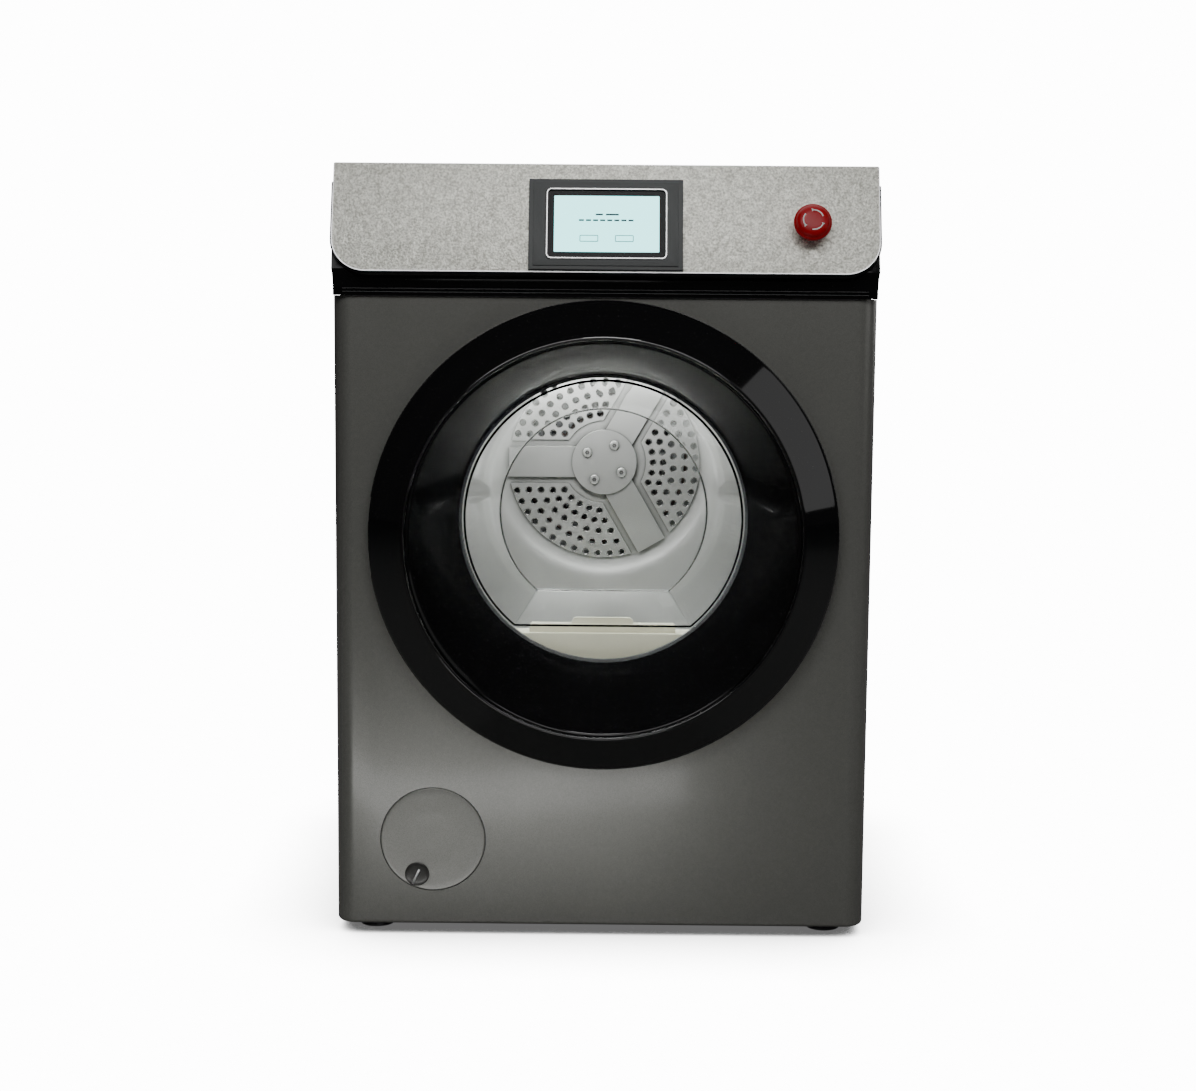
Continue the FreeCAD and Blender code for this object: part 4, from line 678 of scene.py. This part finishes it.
# ------------------------------------------------------------------ sub-assemblies
@dataclass
class Machine:
    """What the sub-assemblies share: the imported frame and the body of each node."""

    frame: dict[str, Any]
    homes: dict[str, str] = field(default_factory=dict)

    def __post_init__(self) -> None:
        """Notes which body each node belongs to."""
        for body, nodes in self.frame["record"]["behaviour"]["bodies"].items():
            for node in nodes:
                self.homes[node] = body

    def dress(self, node: str, look: Look) -> None:
        """Gives a CAD node, whose shape stays, its finish."""
        thing = self.frame["nodes"][node]
        if not thing.material_slots:
            thing.data.materials.append(None)
        for slot in thing.material_slots:
            slot.material = look.value.material()

    def refine(self, node: str, look: Look, rounding: float = 0.0, angle: float = 32.0,
               flatten: bool = True) -> Bench:
        """Finishes a merged copy of a CAD node: flat faces made whole, edges rounded, curves smoothed.

        Args:
            node: The CAD node.
            look: Its finish.
            rounding: Radius of its edges, or 0.
            angle: Edges sharper than this stay sharp, in degrees.
            flatten: True to make its flat faces whole.

        Returns:
            The bench with the finished copy.
        """
        bench = Bench.from_node(node + "_finished", self.frame["nodes"][node])
        if flatten:
            with bench.editing():
                bpy.ops.mesh.select_all(action="SELECT")
                bpy.ops.mesh.dissolve_limited(angle_limit=math.radians(0.4))
        if rounding:
            bench.soften(rounding)
        bench.finish(look, self.homes[node], [node], angle)
        return bench


@dataclass
class Cabinet:
    """Enamelled panels, feet and the bare steel back."""

    machine: Machine
    scoop_inset: float = 14.5 * MM
    scoop_turn: float = 246.0
    rib_half: float = 1.5 * MM
    rib_turn: float = 24.0

    def panels(self) -> None:
        """Front, sides, worktop and vent cap."""
        for node in ("front_panel", "left_side_panel", "right_side_panel"):
            self.machine.refine(node, Look.ENAMEL)
        self.machine.refine("vent_cap", Look.ENAMEL, angle=24.0, flatten=False)
        self.finger_scoop()
        self.machine.refine("worktop", Look.ENAMEL, 0.6 * MM)

    def finger_scoop(self) -> None:
        """Pressed dimple at the cap's lower edge in darker enamel as painted shade, with a silver rib across
        it as a painted highlight.
        """
        low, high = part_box("vent_cap")
        middle, reach = centre_of("vent_cap"), (high[2] - low[2]) / 2 - self.scoop_inset
        turn = math.radians(self.scoop_turn)
        x, z, face = middle.x + reach * math.cos(turn), middle.z + reach * math.sin(turn), low[1] + 0.45 * MM
        steps = [(13.6, -0.5), (13.0, -0.9), (12.2, -0.5), (9.0, -0.12), (4.0, 0.0), (0.0, 0.0)]
        scoop = turned("vent_cap_scoop", [(r * MM, face + y * MM, z) for r, y in steps], 48, False, x)
        # The scoop's darker enamel is painted shade.
        scoop.finish(Look.RECESS, "vent_cap")
        half = self.rib_half
        rib = Bench.block("vent_cap_rib", (x - half, face - 1.6 * MM, z - 12.5 * MM),
                          (x + half, face, z + 6.0 * MM))
        rib.soften(0.7 * MM, 3, 30.0)
        rib.lean(turn_about(x, z, self.rib_turn))
        # The rib's silver is a painted highlight along its edge.
        rib.finish(Look.SILVER_LINE, "vent_cap")

    def back(self) -> None:
        """Galvanised back, spigot and tray, with their screws and the gland."""
        self.machine.refine("rear_panel", Look.ZINC)
        self.machine.refine("exhaust_spigot", Look.ZINC, 0.4 * MM)
        self.machine.refine("panel_screws", Look.MACHINED)
        self.machine.refine("cable_gland", Look.BLACK, 0.3 * MM)
        self.machine.refine("levelling_feet", Look.BLACK, 0.4 * MM)
        self.machine.dress("base_tray", Look.ZINC)

    def build(self) -> None:
        """Builds the whole cabinet."""
        self.panels()
        self.back()


@dataclass
class Console:
    """Leaning fascia with its display and stop button."""

    machine: Machine
    lean_degrees: float = 18.0
    plate: float = 2.0 * MM
    corner: float = 37.0 * MM
    top_corner: float = 2.2 * MM
    display_x: float = 0.9 * MM
    display_z: float = 52.6 * MM
    bezel_face: float = -7.0 * MM
    lcd: tuple[float, float] = (113.0 * MM, 63.0 * MM)
    line: tuple[float, float] = (129.5 * MM, 79.0 * MM)
    arrow_span: float = 78.0
    arrow_turn: float = 20.0

    def __post_init__(self) -> None:
        """Works out the slope's own frame: x across, -y outwards, z up the slope."""
        low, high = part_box("fascia_plate")
        turn = math.radians(self.lean_degrees)
        base = Vector((0, low[1], low[2] + self.plate * math.sin(turn)))
        self.slope = Matrix.Translation(base) @ Matrix.Rotation(-turn, 4, "X")
        self.height = (high[2] - base.z) / math.cos(turn)
        self.half = half_width("fascia_plate")
        LOG.info("console: %.1f mm up the slope", self.height / MM)

    def fascia_blank(self, name: str) -> Bench:
        """A flat plate with the fascia's big lower corners and small upper ones."""
        bench = Bench.block(name, (-self.half, 0, 0), (self.half, self.plate, self.height))
        with bench.editing():
            for level, radius, steps in ((0.0, self.corner, 18), (self.height, self.top_corner, 5)):
                bench.pick(lambda e: all(abs(v.co.z - level) < TOUCH for v in e.verts)
                           and abs(e.verts[0].co.x - e.verts[1].co.x) < TOUCH, "edges")
                bpy.ops.mesh.bevel(offset=radius, segments=steps, affect="EDGES")
        return bench

    def fascia(self) -> None:
        """Grained plate with big lower corners and a bright turned-over edge."""
        bench = self.fascia_blank("fascia_skin")
        bench.soften(0.55 * MM, 3, 60.0)
        bench.lean(self.slope)
        bench.finish(Look.PLATE, "cabinet", ["fascia_plate"])
        rim = self.fascia_blank("fascia_bright_edge")
        with rim.editing():
            rim.pick(lambda f: f.normal.y < -0.9)
            bpy.ops.mesh.inset(thickness=0.9 * MM, depth=0)
            bpy.ops.mesh.delete(type="FACE")
            rim.pick(lambda f: f.normal.y > 0.9 or f.normal.z > 0.9)
            bpy.ops.mesh.delete(type="FACE")
        rim.modify("SOLIDIFY", thickness=0.25 * MM, offset=1.0)
        rim.lean(self.slope)
        rim.finish(Look.SILVER_LINE, "cabinet")

    def housing(self) -> None:
        """Gloss housing behind the fascia with two fine beads along its foot, and a silver strip on the front
        panel's top edge as a painted highlight.
        """
        self.machine.refine("console_housing", Look.HOUSING, 0.5 * MM)
        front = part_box("front_panel")[0][1]
        wide = half_width("console_housing") - 12 * MM
        flat = half_width("front_panel") - 23 * MM
        # Painted highlight: a thin silver strip stands for the light caught by the front panel's rounded top
        # edge.
        edge = Bench.block("panel_top_painted_highlight", (-flat, front - 0.15 * MM, 714.3 * MM),
                           (flat, front + 0.3 * MM, 715.06 * MM))
        edge.finish(Look.SILVER_LINE, "cabinet")
        for index, height in enumerate((718.4 * MM, 722.0 * MM)):
            bead = Bench.block(f"foot_bead_{index + 1}", (-wide, front - 4.8 * MM, height),
                               (wide, front - 3.9 * MM, height + 1.2 * MM))
            bead.soften(0.4 * MM, 3, 30.0)
            bead.finish(Look.GLOSS, "cabinet")

    def display(self) -> None:
        """Stepped bezel, bright rounded line, black surround and lit panel."""
        self.machine.refine("display_bezel", Look.BEZEL, 0.5 * MM)
        self.machine.refine("display_glass", Look.PANEL_BLACK)
        x, z, face = self.display_x, self.display_z, self.bezel_face
        line = self.rounded("display_line", x, z, self.line, 5.5 * MM, face - 0.5 * MM, face + 0.6 * MM)
        line.open_frame(1.1 * MM)
        line.modify("SOLIDIFY", thickness=0.3 * MM, offset=-1.0)
        line.lean(self.slope)
        line.finish(Look.SILVER_LINE, "cabinet")
        lit = self.rounded("display_lit_panel", x, z, self.lcd, 1.0 * MM, face + 1.25 * MM, face + 2.0 * MM)
        lit.lean(self.slope)
        lit.finish(Look.SCREEN, "cabinet")
        self.marks(x, z, face + 1.05 * MM)

    def rounded(self, name: str, x: float, z: float, size: tuple[float, float], radius: float, y0: float,
                y1: float) -> Bench:
        """A plate with four round corners, in the slope's frame."""
        w, h = size[0] / 2, size[1] / 2
        bench = Bench.block(name, (x - w, y0, z - h), (x + w, y1, z + h))
        with bench.editing():
            bench.pick(lambda e: abs(e.verts[0].co.y - e.verts[1].co.y) > 1e-7, "edges")
            bpy.ops.mesh.bevel(offset=radius, segments=8, affect="EDGES")
        return bench

    def marks(self, x: float, z: float, y: float) -> None:
        """Two rows of plain dashes and two outlined keys on the lit panel."""
        bars = [(-12, 9.5, 8), (-1, 9.5, 9), (8, 9.5, 5)]
        bars += [(-30 + 7.6 * i, 3.0, 5.6) for i in range(8)]
        for index, (offset, height, length) in enumerate(bars):
            low = (x + offset * MM, y, z + height * MM)
            dash = Bench.block(f"screen_dash_{index + 1}", low,
                               (low[0] + length * MM, y + 0.3 * MM, low[2] + 2.0 * MM))
            dash.soften(0.2 * MM, 2, 30.0)
            dash.lean(self.slope)
            dash.finish(Look.INK, "cabinet")
        for index, middle in enumerate((-19.0, 19.0)):
            key = self.rounded(f"screen_key_{index + 1}", x + middle * MM, z - 16.5 * MM, (20 * MM, 7.5 * MM),
                               1.2 * MM, y, y + 0.3 * MM)
            key.open_frame(0.8 * MM)
            key.lean(self.slope)
            key.finish(Look.INK, "cabinet")

    def stop_button(self) -> None:
        """Mushroom head with a bright skirt and three turning arrows."""
        home = centre_of("estop_head")
        local = self.slope.inverted() @ home
        x, z = local.x, local.z
        crown = [(13.0, -13.1), (16.8, -13.4), (19.4, -15.0), (20.4, -17.0), (20.4, -19.0), (19.2, -20.2),
                 (18.4, -20.6), (17.9, -21.6),
                 (16.9, -23.6), (15.0, -25.2), (12.2, -26.2), (8.0, -26.8), (4.0, -27.0), (0.0, -27.1)]
        head = turned("stop_head", [(r * MM, y * MM, z) for r, y in [(4.0, -13.1)] + crown], 96, False, x)
        head.lean(self.slope)
        head.finish(Look.RED, "estop_head", ["estop_head"], angle=50.0)
        for index in range(3):
            self.arrow(index, x, z)
        self.machine.refine("estop_collar", Look.RED, 0.3 * MM)

    def arrow(self, index: int, x: float, z: float) -> None:
        """One arc with an arrow's head, spun from a short edge."""
        bench = Bench.block(f"stop_arrow_{index + 1}", (x + 10.3 * MM, -27.0 * MM, z),
                            (x + 11.5 * MM, -26.2 * MM, z + 0.05 * MM))
        centre, turn = (x, 0, z), math.radians(self.arrow_span)
        with bench.editing():
            bench.pick(lambda f: f.normal.z > 0.9)
            bpy.ops.mesh.spin(steps=10, angle=-turn, center=centre, axis=(0, 1, 0))
            bpy.ops.mesh.select_all(action="SELECT")
            bpy.ops.mesh.normals_make_consistent(inside=False)
        tip = Bench.block(f"stop_arrow_tip_{index + 1}", (x + 9.3 * MM, -27.0 * MM, z),
                          (x + 12.5 * MM, -25.9 * MM, z + 0.05 * MM))
        with tip.editing():
            tip.pick(lambda f: f.normal.z < -0.9)
            tip.pull((0, 0, -3.0 * MM), 0.04, Vector((x + 10.9 * MM, 0, z)))
        bench.join(tip)
        bench.lean(self.slope @ turn_about(x, z, 120 * index + self.arrow_turn))
        bench.finish(Look.WHITE, "estop_head")

    def build(self) -> None:
        """Builds the whole console."""
        self.fascia()
        self.housing()
        self.display()
        self.stop_button()
        for node, look in (("display_module", Look.BLACK), ("estop_contact_block", Look.BLACK),
                           ("estop_stem", Look.MACHINED)):
            self.machine.dress(node, look)


@dataclass
class Door:
    """Gloss ring and dish, glass bowl, inner frame, seal, hinge and hook."""

    machine: Machine
    sides: int = 224
    ring_side: float = 29.0 * MM
    ring_width: float = 39.5 * MM
    hinge_room: float = 8.0 * MM
    window: float = 162.5 * MM
    dish_wall: float = 2.5 * MM
    dish_steps: int = 20
    bowl_wall: float = 4.0 * MM
    bowl_mouth: float = 157.0 * MM
    bowl_end: float = 122.0 * MM
    bowl_flat: float = 0.775
    bowl_corner: float = 20.0 * MM

    def ring(self) -> None:
        """The ring: a side wall, a softly rounded shoulder, a cone and a crisp crest."""
        low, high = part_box("door_ring")
        z, radius = (low[2] + high[2]) / 2, (high[2] - low[2]) / 2 - 0.6 * MM
        back, crest = high[1], low[1]
        side, top = crest + self.ring_side, radius - self.ring_width
        steps = [(radius, back), (radius + 0.5 * MM, side + 3.5 * MM), (radius + 0.3 * MM, side + 1.2 * MM),
                 (radius - 0.8 * MM, side - 0.6 * MM),
                 (radius - 3.0 * MM, side - 2.4 * MM), (top + 4.0 * MM, crest + 2.8 * MM),
                 (top + 2.2 * MM, crest + 1.4 * MM),
                 (top + 0.8 * MM, crest + 0.35 * MM), (top - 0.6 * MM, crest),
                 (top - 1.8 * MM, crest + 0.3 * MM), (top - 2.7 * MM, crest + 1.4 * MM),
                 (top - 2.9 * MM, crest + 6.0 * MM), (top, crest + 7.0 * MM),
                 (radius - 3.0 * MM, side - 0.3 * MM), (radius - 3.0 * MM, back)]
        bench = turned("door_ring_gloss", [(r, y, z) for r, y in steps], self.sides)
        hinge_low, hinge_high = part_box("hinge_leaf")
        room, left_half = self.hinge_room, -200.0 * MM
        with bench.editing():
            bench.pick(lambda f: f.calc_center_median().x < left_half
                       and hinge_low[2] - room < f.calc_center_median().z < hinge_high[2] + room
                       and f.calc_center_median().y > side + 0.2 * MM)
            bpy.ops.mesh.delete(type="FACE")
        bench.finish(Look.GLOSS, "door", ["door_ring"], angle=40.0)

    def dish(self) -> None:
        """Tilted cone in to the window, with a rolled lip at each end."""
        low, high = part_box("door_dish")
        rim_z, rim = (low[2] + high[2]) / 2, (high[2] - low[2]) / 2
        glass_low, glass_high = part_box("door_glass")
        window_z = (glass_low[2] + glass_high[2]) / 2
        front, back, window, wall = low[1], high[1], self.window, self.dish_wall
        face = [(rim, front, rim_z), (rim - 1.2 * MM, front - 0.6 * MM, rim_z),
                (rim - 2.6 * MM, front, rim_z)]
        for i in range(1, self.dish_steps):
            t = i / self.dish_steps
            bulge = math.sin(math.pi * t) * 1.2 * MM
            face.append((rim - 2.6 * MM + t * (window + 2.6 * MM - rim) - bulge,
                         front + t * (back - front - 3 * MM), rim_z + t * (window_z - rim_z)))
        face += [(window + 0.4 * MM, back - 2.6 * MM, window_z),
                 (window - 0.6 * MM, back - 1.6 * MM, window_z), (window - 0.6 * MM, back, window_z)]
        rear = [(r + wall, y, z) for r, y, z in face[-3::-1]]
        rear = [(window + wall + 1 * MM, back, window_z)] + [s for s in rear if s[1] > front + 6
                                                             * MM] + [(rim, front + 6 * MM, rim_z)]
        bench = turned("door_dish_gloss", face + rear, self.sides)
        bench.finish(Look.DISH, "door", ["door_dish"], angle=40.0)

    def bowl(self) -> None:
        """Pressed glass bowl: round flange, flat-bottomed cone and a closed, softly rounded end."""
        low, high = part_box("door_glass")
        flange = high[0]
        z = low[2] + flange
        front, back, wall = low[1], high[1], self.bowl_wall
        mouth, end, seat = self.bowl_mouth, self.bowl_end, front + wall
        heel, lift, first, second = wall * 2.4, 2.0 * MM, 1.004, 1.012
        pulls = ((lift, first), (heel - lift, second), (seat - back + heel, mouth / end / first / second))
        bench = Bench.circle("door_glass_bowl", end, Vector((0, back, z)), 192, True)
        with bench.editing():
            bpy.ops.mesh.select_all(action="SELECT")
            bpy.ops.mesh.bisect(plane_co=(0, back, z - self.bowl_flat * end), plane_no=(0, 0, 1),
                                clear_inner=True)
            corner = math.sqrt(1 - self.bowl_flat ** 2) * end
            bench.pick(lambda v: abs(v.co.z - z + self.bowl_flat * end) < 1e-5
                       and abs(abs(v.co.x) - corner) < 1e-4, "verts")
            bpy.ops.mesh.bevel(offset=self.bowl_corner, segments=10, affect="VERTICES")
            bench.pick(lambda e: e.is_boundary, "edges")
            for reach, size in pulls:
                bench.pull((0, -abs(reach), 0), size, Vector((0, back, z)))
            bpy.ops.mesh.delete(type="ONLY_FACE")
        rim = Bench.circle("door_glass_rim", flange, Vector((0, seat, z)), 192)
        bench.join(rim)
        with bench.editing():
            bench.pick(lambda e: e.is_boundary or e.is_wire, "edges")
            bpy.ops.mesh.fill(use_beauty=False)
        bench.tidy()
        inwards = -1.0 if self.faces_back(bench, back) else 1.0
        bench.modify("SOLIDIFY", thickness=wall, offset=inwards, use_even_offset=True)
        with bench.editing():
            bench.pick(lambda e: len(e.link_faces) == 2 and e.calc_face_angle(0.0) > math.radians(25)
                       and min(v.co.y for v in e.verts) > seat + 1 * MM, "edges")
            bpy.ops.mesh.bevel(offset=5.0 * MM, segments=5, affect="EDGES", clamp_overlap=True)
        bench.soften(0.8 * MM, 3, 50.0)
        bench.finish(Look.GLASS, "door", ["door_glass"], angle=30.0)
        bench.modify("WEIGHTED_NORMAL", keep_sharp=True, weight=100)

    @staticmethod
    def faces_back(bench: Bench, back: float) -> bool:
        """True if the bowl's end faces backwards."""
        ends = [p for p in bench.thing.data.polygons if abs(p.center.y - back) < TOUCH]
        return bool(ends) and ends[0].normal.y > 0

    def build(self) -> None:
        """Builds the whole door."""
        self.ring()
        self.dish()
        self.bowl()
        self.machine.refine("door_frame", Look.GREY, 0.4 * MM)
        self.machine.refine("door_seal", Look.RUBBER, 0.4 * MM)
        self.machine.refine("hinge_leaf", Look.MACHINED, 0.2 * MM)
        self.machine.refine("hinge_arm", Look.MACHINED, 0.2 * MM)
        self.machine.refine("latch_hook", Look.MACHINED, 0.3 * MM)
        self.machine.dress("door_catch", Look.BLACK)


@dataclass
class Drum:
    """Bright drum with its pressed and perforated rear wall."""

    machine: Machine
    hole_radius: float = 3.6 * MM
    sector_depth: float = 4.2 * MM
    rows: tuple[tuple[float, int, float], ...] = ((121.4, 12, 83.0), (106.4, 10, 78.3), (91.5, 8, 71.6),
                                                  (77.6, 7, 61.6), (64.3, 5, 49.3))

    def rims(self) -> None:
        """A drawn, rounded rim round every perforation, all one piece."""
        centre = centre_of("drum_shell")
        face = self.wall_face()
        radius = self.hole_radius
        places: list[tuple[float, float]] = []
        for sector in (0.0, 120.0, 240.0):
            for reach, count, span in self.rows:
                for i in range(count):
                    angle = math.radians(sector - span / 2 + i * span / (count - 1))
                    places.append((reach * MM * math.cos(angle), reach * MM * math.sin(angle)))
        steps = [(radius - 0.2 * MM, face + 0.9 * MM), (radius, face - 0.35 * MM),
                 (radius + 0.6 * MM, face - 0.6 * MM), (radius + 1.3 * MM, face + 0.1 * MM)]
        model = turned("perforation_rims", [(r, y, centre.z) for r, y in steps], 14, False)
        things = [model.thing]
        for x, z in places[1:]:
            copy = bpy.data.objects.new("rim", model.thing.data.copy())
            bpy.context.scene.collection.objects.link(copy)
            copy.location = (x, 0, z)
            things.append(copy)
        model.thing.location = (places[0][0], 0, places[0][1])
        take_up(*things)
        bpy.ops.object.transform_apply(location=True, rotation=False, scale=False)
        bpy.ops.object.join()
        model.finish(Look.STAINLESS, "drum", angle=60.0)

    def wall_face(self) -> float:
        """Y of the perforated sectors' front face."""
        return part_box("drum_rear_wall")[1][1] - self.sector_depth

    def build(self) -> None:
        """Builds the drum."""
        # The pressed steel paints shade into the rear wall's creases and the hub screws' sockets.
        self.machine.refine("drum_rear_wall", Look.PRESSED, angle=28.0, flatten=False)
        self.machine.refine("drum_shell", Look.STAINLESS, angle=30.0)
        self.machine.refine("drum_lifters", Look.STAINLESS, angle=40.0)
        self.machine.refine("hub_screws", Look.PRESSED)
        self.machine.dress("drum_shaft", Look.MACHINED)
        self.rims()


@dataclass
class Works:
    """Everything behind the panels, which keeps its CAD shape and gets its finish."""

    machine: Machine
    finishes: tuple[tuple[Look, str], ...] = (
        (Look.GREY, "vent_collar"),
        (Look.CREAM, "lint_filter front_duct"),
        (Look.ZINC, "front_bulkhead bearing_bracket heater_housing motor_cradle exhaust_duct"),
        (Look.ZINC, "tension_arm control_box"),
        (Look.FELT, "drum_felt_seal"),
        (Look.RUBBER, "front_roller_left front_roller_right drive_belt"),
        (Look.MACHINED, "roller_axles tension_spring motor_rotor"),
        (Look.BLACK, "motor_pulley idler_pulley blower_wheel blower_housing"),
        (Look.MOTOR, "motor_housing"),
        (Look.BRONZE, "shaft_bush"),
        (Look.HEATING, "heater_element"),
    )

    def build(self) -> None:
        """Dresses every hidden node."""
        for look, nodes in self.finishes:
            for node in nodes.split():
                self.machine.dress(node, look)
        self.machine.refine("door_tunnel", Look.GREY, 0.4 * MM)
        self.machine.refine("filter_housing", Look.CREAM, 0.4 * MM)


# ------------------------------------------------------------------ studio
@dataclass
class Studio:
    """Pale floor, soft lamps and the camera."""

    distance: float = 2.200
    height: float = 0.7145
    across: float = 0.0032
    pitch: float = 7.02
    yaw: float = -0.23
    roll: float = 0.48
    lens: float = 60.57

    def camera(self) -> None:
        """Puts the camera in front of the machine, a little above its middle."""
        data = bpy.data.cameras.new("camera")
        data.lens, data.sensor_width, data.clip_end = self.lens, 36.0, 60.0
        camera = bpy.data.objects.new("camera", data)
        bpy.context.scene.collection.objects.link(camera)
        pitch, yaw, roll = (math.radians(v) for v in (self.pitch, self.yaw, self.roll))
        ahead = Vector((math.sin(yaw) * math.cos(pitch), math.cos(yaw) * math.cos(pitch), -math.sin(pitch)))
        right = ahead.cross(Vector((0, 0, 1))).normalized()
        up = right.cross(ahead)
        right, up = right * math.cos(roll) + up * math.sin(roll), up * math.cos(roll) - right * math.sin(roll)
        place = Vector((self.across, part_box("front_panel")[0][1] - self.distance, self.height))
        camera.matrix_world = Matrix.Translation(place) @ Matrix((right, up, -ahead)).transposed().to_4x4()
        bpy.context.scene.camera = camera

    def lamp(self, name: str, place: Sequence[float], aim: Sequence[float], size: tuple[float, float],
             power: float,
             colour: Colour = (1.0, 1.0, 1.0)) -> None:
        """A soft rectangular lamp at a place, aimed at a point."""
        data = bpy.data.lights.new(name, "AREA")
        data.shape, data.energy, data.color = "RECTANGLE", power, colour
        data.size, data.size_y = size
        lamp = bpy.data.objects.new(name, data)
        lamp.location = place
        lamp.rotation_euler = (Vector(aim) - Vector(place)).to_track_quat("-Z", "Y").to_euler()
        bpy.context.scene.collection.objects.link(lamp)

    def floor(self) -> None:
        """A broad pale floor."""
        clear_selection()
        bpy.ops.mesh.primitive_plane_add(size=24.0, location=(0, 0, 0))
        bench = Bench("floor", bpy.context.object)
        bench.thing.data.materials.append(WhiteSweep("floor_sweep").material())

    def surroundings(self) -> None:
        """Pale backdrop, with a dimmer room for reflections."""
        world = bpy.data.worlds.new("studio")
        bpy.context.scene.world = world
        world.use_nodes = True
        g = Graph(world.node_tree)
        seen = g.node("ShaderNodeLightPath", out="Is Camera Ray")
        pale = g.node("ShaderNodeBackground", {}, {"Color": (1.0, 1.0, 1.0), "Strength": 14.0})
        room = g.node("ShaderNodeBackground", {}, {"Color": (0.30, 0.31, 0.31), "Strength": 0.05})
        g.node("ShaderNodeOutputWorld", {},
               {"Surface": g.node("ShaderNodeMixShader", {}, {0: seen, 1: room, 2: pale})})

    def lamps(self) -> None:
        """Front, side, overhead and rear lamps, and the drum's own lamp."""
        self.lamp("console_bank", (-0.1, -2.5, 2.25), (0, -0.25, 0.80), (3.2, 0.8), 38)
        self.lamp("side_window", (2.6, -1.3, 1.6), (0, -0.3, 0.45), (1.5, 2.2), 6)
        self.lamp("overhead", (0.0, 0.45, 2.6), (0, 0.3, 0), (2.2, 1.5), 16)
        self.lamp("ceiling_strip", (0.05, -1.15, 1.75), (0, -0.3, 0.6), (0.42, 0.06), 2)
        self.lamp("low_front", (-0.17, -0.76, 0.035), (-0.14, -0.26, 0.10), (0.60, 0.06), 0.50)
        self.lamp("rear_fill", (-1.3, 2.6, 1.7), (0, 0.25, 0.45), (1.8, 1.4), 30)
        self.lamp("rear_side", (2.4, 1.5, 1.3), (0.2, 0.1, 0.45), (1.2, 1.2), 12)
        drum = centre_of("drum_shell")
        self.lamp("drum_lamp", (-0.05, drum.y - 0.12, drum.z + 0.21), (0.06, drum.y + 0.2, drum.z - 0.09),
                  (0.16, 0.03), 2.2)

    def build(self) -> None:
        """Sets up the whole studio."""
        self.floor()
        self.surroundings()
        self.lamps()
        self.camera()


def main() -> None:
    """Builds the machine and the studio, and notes the sizes."""
    logging.basicConfig(level=logging.INFO, format="%(name)s %(message)s")
    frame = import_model()
    machine = Machine(frame)
    parts = [kind(machine) for kind in (Cabinet, Console, Door, Drum, Works)]
    for assembly in (*parts, Studio()):
        assembly.build()
        LOG.info("%s is done", type(assembly).__name__)


if __name__ == "__main__":
    main()
